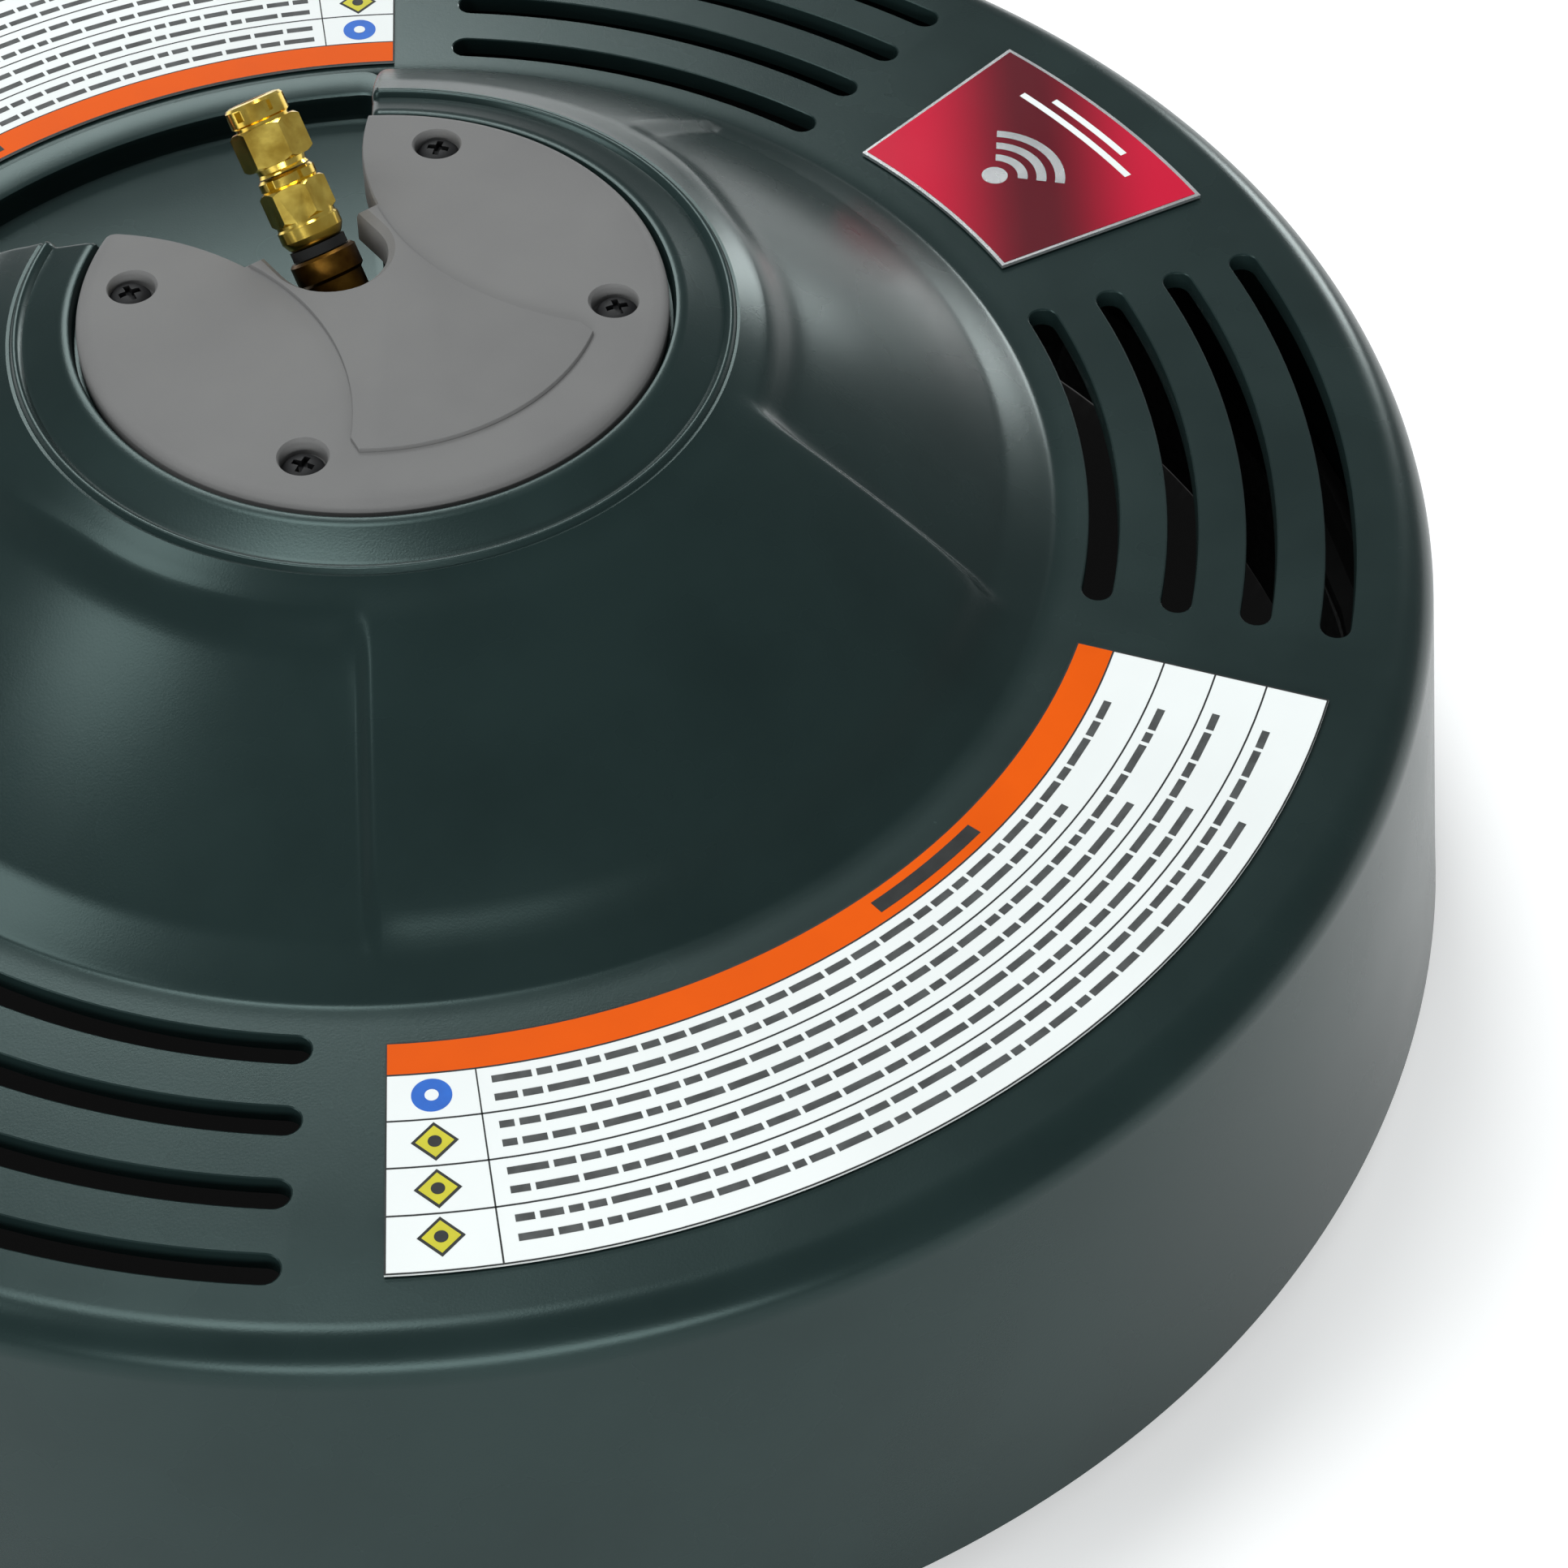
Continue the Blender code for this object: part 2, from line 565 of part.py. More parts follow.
def make_fitting():
    axis = empty("inlet_axis", (0, 0, KNEE_Z), (INLET_TILT - pi / 2, 0, 0))
    washer_low = ELBOW_REACH + GAP
    ring("inlet_washer", SOCKET_RADIUS, WASHER_RADIUS, washer_low, washer_low + WASHER_THICKNESS, rubber, parent=axis)

    low = washer_low + WASHER_THICKNESS + GAP
    middle = low + ADAPTER_ROUND_LENGTH
    high = middle + ADAPTER_HEX_LENGTH
    tail = SOCKET_RADIUS - GAP
    plug_socket = tail - GAP
    socket_floor = high - PLUG_TAIL - FILTER_THICKNESS - 2 * GAP
    end = low - ADAPTER_TAIL
    adapter = solid("inlet_adapter", [(0, middle + GAP), (ADAPTER_ROUND, middle + GAP), (ADAPTER_ROUND, low),
                                      (tail, low), (tail, end), (0, end)], brass, parent=axis)
    join(adapter, hexagon("adapter_hex", ADAPTER_HEX, middle, high, axis))
    cut(adapter, cylinder("adapter_socket", plug_socket, socket_floor, high + GAP, parent=axis),
        cylinder("adapter_bore", WATER_BORE, end - GAP, high + GAP, SMALL_STEPS, parent=axis))
    solid("inlet_filter", [(0, socket_floor + GAP + FILTER_THICKNESS),
                           (plug_socket - GAP, socket_floor + GAP + FILTER_THICKNESS),
                           (plug_socket - GAP, socket_floor + GAP), (0, socket_floor + GAP)],
          stainless, SMALL_STEPS, axis)

    low = high + GAP
    hex_low = low + PLUG_NECK_LENGTH
    hex_high = hex_low + PLUG_HEX_LENGTH
    tip = hex_high + PLUG_TIP_LENGTH
    spigot = plug_socket - GAP
    end = low - PLUG_TAIL
    plug = solid("inlet_plug", [(0, tip), (PLUG_TIP, tip), (PLUG_TIP, hex_high - GAP), (PLUG_NECK, hex_high - GAP),
                                (PLUG_NECK, low), (spigot, low), (spigot, end), (0, end)], brass, parent=axis)
    join(plug, hexagon("plug_hex", PLUG_HEX, hex_low, hex_high, axis))
    cut(plug, cylinder("plug_bore", WATER_BORE, end - GAP, tip + GAP, SMALL_STEPS, parent=axis))


def make_housing():
    fit = BEARING_OUTER + GAP
    leg = ELBOW_LEG + GAP
    chamber = SHAFT_RADIUS + GAP
    groove = CLIP_OUTER + GAP
    outside = [(HOUSING_NECK, HOUSING_TOP), (HOUSING_NECK, FLANGE_TOP), (FLANGE_RADIUS, FLANGE_TOP),
               (FLANGE_RADIUS, FLANGE_BOTTOM), (HOUSING_BODY, FLANGE_BOTTOM), (HOUSING_BODY, HOUSING_BOTTOM)]
    inside = [(fit, HOUSING_BOTTOM), (fit, CIRCLIP_Z - GAP), (groove, CIRCLIP_Z - GAP),
              (groove, CIRCLIP_Z + CIRCLIP_THICKNESS + GAP), (fit, CIRCLIP_Z + CIRCLIP_THICKNESS + GAP),
              (fit, BEARING_SHOULDER), (SEAL_OUTER + GAP, BEARING_SHOULDER), (SEAL_OUTER + GAP, SEAL_TOP + GAP),
              (chamber, SEAL_TOP + GAP), (chamber, SHAFT_TOP + GAP), (SHAFT_BORE, SHAFT_TOP + GAP),
              (SHAFT_BORE, LEG_SEAT_Z), (leg, LEG_SEAT_Z), (leg, HOUSING_TOP)]
    body = turned("swivel_housing", outside + inside, zinc)
    for k, place_xy in enumerate(bolt_places()):
        cut(body, cylinder(f"flange_hole_{k}", BOLT_SHANK + GAP, FLANGE_BOTTOM - WALL, FLANGE_TOP + WALL,
                           SMALL_STEPS, place_xy))


def make_bearings():
    inner = SHAFT_RADIUS + GAP
    for name, low in (("bearing_lower", LOWER_BEARING_Z), ("bearing_upper", UPPER_BEARING_Z)):
        ring(name, inner, BEARING_OUTER, low, low + BEARING_HEIGHT, stainless)
    ring("bearing_spacer", BEARING_OUTER - SPACER_WALL, BEARING_OUTER, SPACER_Z, SPACER_Z + SPACER_HEIGHT, zinc)
    ring("pressure_seal", inner, SEAL_OUTER, BEARING_SHOULDER + GAP, SEAL_TOP, rubber)
    half = CIRCLIP_OPENING / 2
    prism("circlip", [band(CLIP_OUTER - CIRCLIP_WIDTH, CLIP_OUTER, half, 2 * pi - half, ROUND_STEPS)],
          CIRCLIP_Z, CIRCLIP_Z + CIRCLIP_THICKNESS, stainless)


def make_clamp():
    plate = ring("mounting_plate", HOUSING_BODY + GAP, CLAMP_RADIUS, CLAMP_TOP - CLAMP_THICKNESS, CLAMP_TOP, zinc)
    for k, place_xy in enumerate(bolt_places()):
        cut(plate, cylinder(f"plate_hole_{k}", BOLT_SHANK + GAP, CLAMP_TOP - 2 * CLAMP_THICKNESS,
                            CLAMP_TOP + CLAMP_THICKNESS, SMALL_STEPS, place_xy))
    length = FLANGE_TOP + GAP - NUT_TOP + NUT_HEIGHT + BOLT_END
    bolt = join(hexagon("bolt", BOLT_HEAD, 0, BOLT_HEAD_HEIGHT),
                cylinder("bolt_shank", BOLT_SHANK, -length, BOLT_HEAD_HEIGHT / 2, SMALL_STEPS))
    bolt_mesh = baked(bolt)
    nut_mesh = baked(cut(hexagon("nut", BOLT_HEAD, -NUT_HEIGHT, 0),
                         cylinder("nut_bore", BOLT_SHANK + GAP, -2 * NUT_HEIGHT, NUT_HEIGHT, SMALL_STEPS)))
    for k, (x, y) in enumerate(bolt_places()):
        place(f"plate_bolt_{k + 1}", bolt_mesh, zinc).location = (x, y, FLANGE_TOP + GAP)
        place(f"plate_nut_{k + 1}", nut_mesh, zinc).location = (x, y, NUT_TOP)


def make_rotor():
    axis = empty("rotor_axis", (0, 0, 0))
    hub_bore = SHAFT_RADIUS + GAP
    shoulder_low, shoulder_high = SPACER_Z, SPACER_Z + SPACER_HEIGHT
    bore_end = ARM_Z - 2 * SHAFT_BORE
    profile = [(SHAFT_RADIUS, SHAFT_TOP), (SHAFT_RADIUS, shoulder_high), (SHAFT_SHOULDER, shoulder_high),
               (SHAFT_SHOULDER, shoulder_low), (SHAFT_RADIUS, shoulder_low), (SHAFT_RADIUS, HUB_BOTTOM_Z),
               (SHAFT_THREAD, HUB_BOTTOM_Z), (SHAFT_THREAD, SHAFT_END_Z), (0, SHAFT_END_Z)]
    shaft = solid("swivel_shaft", [(0, bore_end), (SHAFT_BORE, bore_end), (SHAFT_BORE, SHAFT_TOP)] + profile,
                  stainless, parent=axis)
    across = Matrix.Translation((0, 0, ARM_Z)) @ Matrix.Rotation(pi / 2, 4, "Y")
    port = WATER_BORE * 0.8
    cut(shaft, cylinder("shaft_port", port, -HUB_RADIUS, HUB_RADIUS, SMALL_STEPS, turn=across, parent=axis))

    hub = ring("rotor_hub", hub_bore, HUB_RADIUS, HUB_BOTTOM_Z, HUB_TOP_Z, zinc, parent=axis)
    socket = ARM_RADIUS + GAP
    cut(hub, cylinder("hub_port", port, -HUB_RADIUS, HUB_RADIUS, SMALL_STEPS, turn=across, parent=axis))
    cut(hub, cylinder("hub_socket_1", socket, ARM_SOCKET_BOTTOM, 2 * HUB_RADIUS, turn=across, parent=axis))
    cut(hub, cylinder("hub_socket_2", socket, -2 * HUB_RADIUS, -ARM_SOCKET_BOTTOM, turn=across, parent=axis))

    nut_top = HUB_BOTTOM_Z - GAP
    nut = hexagon("hub_nut", HUB_NUT, nut_top - HUB_NUT_HEIGHT, nut_top, axis)
    nut = place("hub_nut", baked(cut(nut, cylinder("hub_nut_bore", SHAFT_THREAD + GAP, nut_top - 2 * HUB_NUT_HEIGHT,
                                                   nut_top + HUB_NUT_HEIGHT, parent=axis))), stainless, axis)
    make_arms(axis)


def make_arms(axis):
    arm_low = ARM_SOCKET_BOTTOM + GAP
    arm_high = NOZZLE_CIRCLE - HOLDER_RADIUS + ARM_OVERLAP
    bottom = -HOLDER_HALF_HEIGHT
    for k in (1, 2):
        side = empty(f"arm_{k}_axis", (0, 0, ARM_Z), (0, pi / 2, (k - 1) * pi), axis)
        ring(f"spray_arm_{k}", ARM_BORE, ARM_RADIUS, arm_low, arm_high, stainless, 16, side)

        down = empty(f"nozzle_{k}_axis", (*polar(NOZZLE_CIRCLE, (k - 1) * pi), ARM_Z),
                     (NOZZLE_TILT, 0, (k - 1) * pi), axis)
        bore = TIP_SPIGOT + GAP
        holder = solid(f"nozzle_holder_{k}", [(0, HOLDER_HALF_HEIGHT), (HOLDER_RADIUS * 0.8, HOLDER_HALF_HEIGHT),
                                              (HOLDER_RADIUS, HOLDER_HALF_HEIGHT * 0.8), (HOLDER_RADIUS, bottom),
                                              (bore, bottom), (bore, bottom + TIP_SPIGOT_LENGTH + GAP),
                                              (WATER_BORE, bottom + TIP_SPIGOT_LENGTH + GAP), (WATER_BORE, 0), (0, 0)],
                       zinc, parent=down)
        inwards = Matrix.Rotation(-pi / 2, 4, "Y")
        cut(holder, cylinder(f"arm_socket_{k}", ARM_RADIUS + GAP, HOLDER_RADIUS - ARM_OVERLAP - GAP,
                             2 * HOLDER_RADIUS, turn=inwards, parent=down))
        cut(holder, cylinder(f"holder_port_{k}", WATER_BORE * 0.8, 0, HOLDER_RADIUS, SMALL_STEPS, turn=inwards,
                             parent=down))
        top = bottom - GAP
        turned(f"nozzle_tip_{k}", [(TIP_SPIGOT, top + TIP_SPIGOT_LENGTH), (TIP_SPIGOT, top), (TIP_RADIUS, top),
                                   (TIP_RADIUS, top - TIP_LENGTH / 2), (TIP_NOSE, top - TIP_LENGTH),
                                   (TIP_ORIFICE, top - TIP_LENGTH), (TIP_ORIFICE, top + TIP_SPIGOT_LENGTH)],
               brass, 16, parent=down)


def make_skirt():
    inner = BRUSH_OUTER - BRUSH_THICKNESS
    ring("bristle_skirt", inner, BRUSH_OUTER, 0, BRUSH_HEIGHT, bristle, SHELL_STEPS)
    top = RETAINER_BOTTOM + RETAINER_HEIGHT
    lip_low = BRUSH_HEIGHT + GAP
    lip_high = lip_low + RETAINER_LIP
    pocket = BRUSH_OUTER + GAP
    back = wall_inside(top) - GAP
    face = back - RETAINER_WALL
    section = [(back, top), (wall_inside(RETAINER_BOTTOM) - GAP, RETAINER_BOTTOM), (pocket, RETAINER_BOTTOM),
               (pocket, lip_low), (inner, lip_low), (inner, lip_high), (face, lip_high), (face, top)]
    retainer = turned("skirt_retainer", section, rubber, SHELL_STEPS)
    seat = facet_radius(face) - GAP
    length = facet_radius(wall_inside(SKIRT_SCREW_Z)) + SKIRT_SCREW_BITE - seat
    mesh = pan_screw("skirt_screw", SKIRT_SCREW_SHANK, SKIRT_SCREW_HEAD, SKIRT_SCREW_HEAD_HEIGHT, length)
    mesh.transform(Matrix.Rotation(pi, 4, "X"))
    for k, (angle, frame) in enumerate(skirt_screw_frames()):
        lifted = Matrix.Translation((0, 0, SKIRT_SCREW_Z)) @ frame
        cut(retainer, cylinder(f"retainer_hole_{k}", SKIRT_SCREW_SHANK + GAP, seat - WALL, RIM_RADIUS,
                               SMALL_STEPS, turn=lifted))
        screw = place(f"skirt_screw_{k + 1}", mesh, zinc)
        screw.location = (*polar(seat, angle), SKIRT_SCREW_Z)
        screw.rotation_euler = frame.to_euler()


def make_labels():
    low = DECK_Z + GAP
    for name, middle, shift in (("label_front", -pi / 2, 0), ("label_rear", pi / 2, LABEL_REAR_SHIFT)):
        outline = band(LABEL_INNER + shift, LABEL_OUTER + shift, middle - LABEL_HALF_ANGLE,
                       middle + LABEL_HALF_ANGLE, 12)
        prism(name, [outline], low, low + LABEL_THICKNESS, label_film)
    for name, middle in (("nameplate_right", 0), ("nameplate_left", pi)):
        outline = band(LABEL_INNER, LABEL_OUTER, middle - PLATE_HALF_ANGLE, middle + PLATE_HALF_ANGLE, 4)
        prism(name, [outline], low, low + PLATE_THICKNESS, plate_red)


make_shroud()
make_cover()
make_cover_screws()
make_elbow()
make_fitting()
make_housing()
make_bearings()
make_clamp()
make_rotor()
make_skirt()
make_labels()
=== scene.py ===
import json
import random
from math import atan2, cos, degrees, hypot, pi, radians, sin, sqrt

import bmesh
import bpy
from mathutils import Matrix, Vector


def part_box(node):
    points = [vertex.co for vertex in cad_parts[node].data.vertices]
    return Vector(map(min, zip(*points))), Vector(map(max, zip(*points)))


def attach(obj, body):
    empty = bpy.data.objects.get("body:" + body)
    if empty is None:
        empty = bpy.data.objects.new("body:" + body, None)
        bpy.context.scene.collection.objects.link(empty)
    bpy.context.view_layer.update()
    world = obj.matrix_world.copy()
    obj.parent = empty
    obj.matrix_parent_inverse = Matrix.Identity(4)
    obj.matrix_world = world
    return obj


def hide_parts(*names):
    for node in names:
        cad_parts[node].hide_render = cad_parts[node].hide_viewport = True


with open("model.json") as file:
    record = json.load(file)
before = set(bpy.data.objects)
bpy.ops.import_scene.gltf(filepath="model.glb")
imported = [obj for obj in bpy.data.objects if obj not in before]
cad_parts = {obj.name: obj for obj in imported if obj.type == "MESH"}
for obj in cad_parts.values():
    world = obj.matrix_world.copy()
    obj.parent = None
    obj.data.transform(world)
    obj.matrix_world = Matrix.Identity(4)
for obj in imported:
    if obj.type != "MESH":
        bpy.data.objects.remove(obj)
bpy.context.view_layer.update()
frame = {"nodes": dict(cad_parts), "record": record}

# The object stands on the floor at z = 0, the lance points to +Y and the front label is at -Y.
mm = 0.001
sameSpot = 0.002 * mm
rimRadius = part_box("shroud")[1].x
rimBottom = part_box("shroud")[0].z
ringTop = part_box("shroud")[1].z
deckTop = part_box("label_front")[0].z - 0.3 * mm
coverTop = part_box("hub_cover")[1].z
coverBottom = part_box("hub_cover")[0].z

print("camera and light")

cameraPlace = {"distance": 0.7108, "elevation": 43.6, "azimuth": -30.5, "roll": -0.54, "lens": 91.13,
               "aim": (0.0119, -0.0984)}


def towards(azimuth, elevation):
    # unit vector from the object to a place round it; azimuth 0 is in front, 90 on the right
    a, e = radians(azimuth), radians(elevation)
    return Vector((sin(a) * cos(e), -cos(a) * cos(e), sin(e)))


def makeCamera():
    data = bpy.data.cameras.new("camera")
    data.sensor_width = 36
    data.lens = cameraPlace["lens"]
    data.clip_start = 0.05
    camera = bpy.data.objects.new("camera", data)
    bpy.context.scene.collection.objects.link(camera)
    back = towards(cameraPlace["azimuth"], cameraPlace["elevation"])
    place = Vector((0, 0, deckTop)) + back * cameraPlace["distance"]
    look = (place - Vector((*cameraPlace["aim"], deckTop))).normalized()
    right = Vector((0, 0, 1)).cross(look).normalized()
    up = look.cross(right)
    roll = radians(cameraPlace["roll"])
    x = cos(roll) * right - sin(roll) * up
    y = sin(roll) * right + cos(roll) * up
    camera.matrix_world = Matrix.Translation(place) @ Matrix((x, y, look)).transposed().to_4x4()
    bpy.context.scene.camera = camera


lamps = {
    "overhead": {"azimuth": 178, "elevation": 74, "distance": 2.0, "size": (0.6, 0.6), "power": 11},
    "rear": {"azimuth": 156, "elevation": 42, "distance": 2.2, "size": (0.8, 0.8), "power": 15},
    "front": {"azimuth": -32, "elevation": 15, "distance": 2.2, "size": (2.2, 0.45), "power": 28},
    "right": {"azimuth": 113, "elevation": 14, "distance": 2.0, "size": (0.5, 0.5), "power": 8},
    "left": {"azimuth": -118, "elevation": 52, "distance": 2.2, "size": (0.9, 0.9), "power": 14},
}
studio = {"lampColour": (0.97, 1, 1), "worldColour": (0.95, 0.98, 1.0, 1), "worldStrength": 0.28,
          "floorReach": 6, "floorGlow": 0.40, "shadeColour": (0.012, 0.012, 0.012, 1),
          "shadeFrom": rimRadius - 16 * mm, "shadeTo": rimRadius - 14 * mm}


def makeLights():
    for name, lamp in lamps.items():
        data = bpy.data.lights.new(name, "AREA")
        data.shape = "ELLIPSE"
        data.size, data.size_y = lamp["size"]
        data.energy = lamp["power"]
        data.color = studio["lampColour"]
        light = bpy.data.objects.new(name, data)
        bpy.context.scene.collection.objects.link(light)
        back = towards(lamp["azimuth"], lamp["elevation"])
        light.location = Vector((0, 0, deckTop)) + back * lamp["distance"]
        light.rotation_mode = "QUATERNION"
        light.rotation_quaternion = back.to_track_quat("Z", "Y")
    world = bpy.data.worlds.new("studio")
    world.use_nodes = True
    background = world.node_tree.nodes["Background"]
    background.inputs["Color"].default_value = studio["worldColour"]
    background.inputs["Strength"].default_value = studio["worldStrength"]
    bpy.context.scene.world = world
    bpy.context.scene.view_settings.view_transform = "Standard"


makeCamera()
makeLights()

print("finishes")


def printed(colour, second, rough=0.40, blotch=200, specular=0.15):
    # films and inks differ in little but colour
    return {"colour": colour, "second": second, "rough": rough, "roughSpread": 0.05, "blotch": blotch,
            "grain": 1200, "depth": 0.00001, "specular": specular}


# colour and second colour mix over a slow noise; grain is a fine bump, depth in metres; the rest is shared
grainStrength = 0.6
rampEnds = (0.35, 0.65)
finishes = {
    "shellPlastic": {"colour": (0.0112, 0.0220, 0.0214), "second": (0.0090, 0.0180, 0.0176), "rough": 0.27,
                     "roughSpread": 0.05, "blotch": 35, "grain": 2600, "depth": 0.00002, "specular": 0.27,
                     "sheen": (0.72, 1.0, 0.97)},
    "coverPlastic": {"colour": (0.180, 0.178, 0.176), "second": (0.165, 0.163, 0.162), "rough": 0.60,
                     "roughSpread": 0.06, "blotch": 45, "grain": 2200, "depth": 0.00004, "specular": 0.18},
    "brass": {"colour": (0.86, 0.64, 0.13), "second": (0.70, 0.46, 0.07), "rough": 0.17, "roughSpread": 0.08,
              "blotch": 260, "grain": 1500, "depth": 0.00001, "metal": 1.0},
    # the elbow's darker brass, its colour mostly painted shade: the shade down in the cover's slot it runs
    # into
    "brassInPaintedShade": {"colour": (0.15, 0.075, 0.012), "second": (0.06, 0.025, 0.004), "rough": 0.32,
                  "roughSpread": 0.12, "blotch": 220, "grain": 1200, "depth": 0.00002, "metal": 1.0},
    "stainless": {"colour": (0.62, 0.62, 0.60), "second": (0.52, 0.52, 0.51), "rough": 0.28,
                  "roughSpread": 0.10, "blotch": 60, "grain": 1400, "depth": 0.00001, "metal": 1.0,
                  "stretch": (0.05, 1, 1)},
    "zincPlate": {"colour": (0.52, 0.53, 0.50), "second": (0.42, 0.43, 0.42), "rough": 0.40,
                  "roughSpread": 0.12, "blotch": 90, "grain": 1600, "depth": 0.00002, "metal": 1.0},
    # the cover screws' heads, painted near black and matte as the shade down in their counterbores
    "steelInPaintedShade": {"colour": (0.020, 0.020, 0.021), "second": (0.012, 0.012, 0.013), "rough": 0.55,
                  "roughSpread": 0.10, "blotch": 300, "grain": 1600, "depth": 0.00002, "specular": 0.2},
    "rubber": {"colour": (0.010, 0.010, 0.010), "second": (0.018, 0.018, 0.018), "rough": 0.72,
               "roughSpread": 0.08, "blotch": 60, "grain": 1800, "depth": 0.00004, "specular": 0.15},
    "bristle": {"colour": (0.020, 0.021, 0.021), "second": (0.040, 0.041, 0.041), "rough": 0.62,
                "roughSpread": 0.10, "blotch": 500, "grain": 3000, "depth": 0.00002},
    "labelFilm": printed((0.86, 0.89, 0.88), (0.82, 0.85, 0.84), blotch=30),
    "orangeInk": printed((0.82, 0.105, 0.001), (0.76, 0.095, 0.001), blotch=40, specular=0.05),
    "darkInk": printed((0.018, 0.020, 0.020), (0.030, 0.032, 0.032), rough=0.45),
    "greyInk": printed((0.055, 0.058, 0.058), (0.085, 0.09, 0.09), rough=0.45, blotch=300),
    "blueInk": printed((0.020, 0.15, 0.62), (0.018, 0.12, 0.52)),
    "yellowInk": printed((0.66, 0.60, 0.03), (0.58, 0.53, 0.03)),
    "plateRed": {"colour": (0.58, 0.003, 0.035), "second": (0.10, 0.001, 0.008), "rough": 0.24,
                 "roughSpread": 0.04, "blotch": 50, "grain": 900, "depth": 0.00001, "specular": 0.3},
    "plateSilver": {"colour": (0.66, 0.67, 0.68), "second": (0.56, 0.57, 0.58), "rough": 0.26,
                    "roughSpread": 0.06, "blotch": 120, "grain": 1300, "depth": 0.00001, "metal": 0.8},
    "floorPaint": {"colour": (0.90, 0.90, 0.90), "second": (0.88, 0.88, 0.88), "rough": 0.80,
                   "roughSpread": 0.04, "blotch": 6, "grain": 300, "depth": 0.00001, "specular": 0.1},
}


def makeFinish(name, recipe):
    material = bpy.data.materials.new(name)
    material.use_nodes = True
    nodes, links = material.node_tree.nodes, material.node_tree.links
    shader = nodes["Principled BSDF"]
    shader.inputs["Metallic"].default_value = recipe.get("metal", 0.0)
    shader.inputs["Specular IOR Level"].default_value = recipe.get("specular", 0.5)
    shader.inputs["Specular Tint"].default_value = (*recipe.get("sheen", (1, 1, 1)), 1)
    place = nodes.new("ShaderNodeTexCoord")
    stretch = nodes.new("ShaderNodeMapping")
    stretch.inputs["Scale"].default_value = recipe.get("stretch", (1, 1, 1))
    links.new(place.outputs["Object"], stretch.inputs["Vector"])

    blotch = nodes.new("ShaderNodeTexNoise")
    blotch.name = "blotch"
    blotch.inputs["Scale"].default_value = recipe["blotch"]
    blotch.inputs["Detail"].default_value = 4
    links.new(stretch.outputs["Vector"], blotch.inputs["Vector"])
    ramp = nodes.new("ShaderNodeValToRGB")
    ramp.name = "colours"
    ramp.color_ramp.elements[0].position = rampEnds[0]
    ramp.color_ramp.elements[1].position = rampEnds[1]
    ramp.color_ramp.elements[0].color = (*recipe["second"], 1)
    ramp.color_ramp.elements[1].color = (*recipe["colour"], 1)
    links.new(blotch.outputs["Fac"], ramp.inputs["Fac"])
    links.new(ramp.outputs["Color"], shader.inputs["Base Color"])

    grain = nodes.new("ShaderNodeTexNoise")
    grain.inputs["Scale"].default_value = recipe["grain"]
    grain.inputs["Detail"].default_value = 2
    links.new(stretch.outputs["Vector"], grain.inputs["Vector"])
    spread = nodes.new("ShaderNodeMapRange")
    spread.inputs["To Min"].default_value = recipe["rough"] - recipe["roughSpread"]
    spread.inputs["To Max"].default_value = recipe["rough"] + recipe["roughSpread"]
    links.new(blotch.outputs["Fac"], spread.inputs["Value"])
    links.new(spread.outputs["Result"], shader.inputs["Roughness"])
    bump = nodes.new("ShaderNodeBump")
    bump.inputs["Strength"].default_value = grainStrength
    bump.inputs["Distance"].default_value = recipe["depth"]
    links.new(grain.outputs["Fac"], bump.inputs["Height"])
    links.new(bump.outputs["Normal"], shader.inputs["Normal"])
    return material


look = {name: makeFinish(name, recipe) for name, recipe in finishes.items()}
slotLook = {"shell_plastic": "shellPlastic", "cover_plastic": "coverPlastic", "brass": "brass",
            "dark_brass": "brassInPaintedShade", "stainless": "stainless", "zinc": "zincPlate", "rubber": "rubber",
            "bristle": "bristle", "label_film": "labelFilm", "plate_red": "plateRed"}
nodeSlot = {row["node"]: row["material_slot"] for row in frame["record"]["subparts"]}
nodeBody = {node: body for body, names in frame["record"]["behaviour"]["bodies"].items() for node in names}


# the nameplates are darkest on a line across the plan, x plus slant times y, and get red away from it
plateShade = {"slant": -0.75, "line": 150 * mm, "dark": 2 * mm, "red": 30 * mm}


def shadeAcrossPlate():
    # the red darkens towards a slanted line through the middle of each nameplate
    material = look["plateRed"]
    nodes, links = material.node_tree.nodes, material.node_tree.links
    place = nodes.new("ShaderNodeTexCoord")
    parts = nodes.new("ShaderNodeSeparateXYZ")
    links.new(place.outputs["Object"], parts.inputs["Vector"])
    along = nodes.new("ShaderNodeMath")
    along.operation = "ABSOLUTE"
    links.new(parts.outputs["X"], along.inputs[0])
    slanted = nodes.new("ShaderNodeMath")
    slanted.operation = "MULTIPLY_ADD"
    slanted.inputs[1].default_value = plateShade["slant"]
    links.new(parts.outputs["Y"], slanted.inputs[0])
    links.new(along.outputs["Value"], slanted.inputs[2])
    away = nodes.new("ShaderNodeMath")
    away.operation = "SUBTRACT"
    away.inputs[1].default_value = plateShade["line"]
    links.new(slanted.outputs["Value"], away.inputs[0])
    size = nodes.new("ShaderNodeMath")
    size.operation = "ABSOLUTE"
    links.new(away.outputs["Value"], size.inputs[0])
    spread = nodes.new("ShaderNodeMapRange")
    spread.interpolation_type = "SMOOTHSTEP"
    spread.inputs["From Min"].default_value = plateShade["dark"]
    spread.inputs["From Max"].default_value = plateShade["red"]
    links.new(size.outputs["Value"], spread.inputs["Value"])
    links.new(spread.outputs["Result"], nodes["colours"].inputs["Fac"])
    nodes["colours"].color_ramp.elements[0].position = 0.0
    nodes["colours"].color_ramp.elements[1].position = 1.0


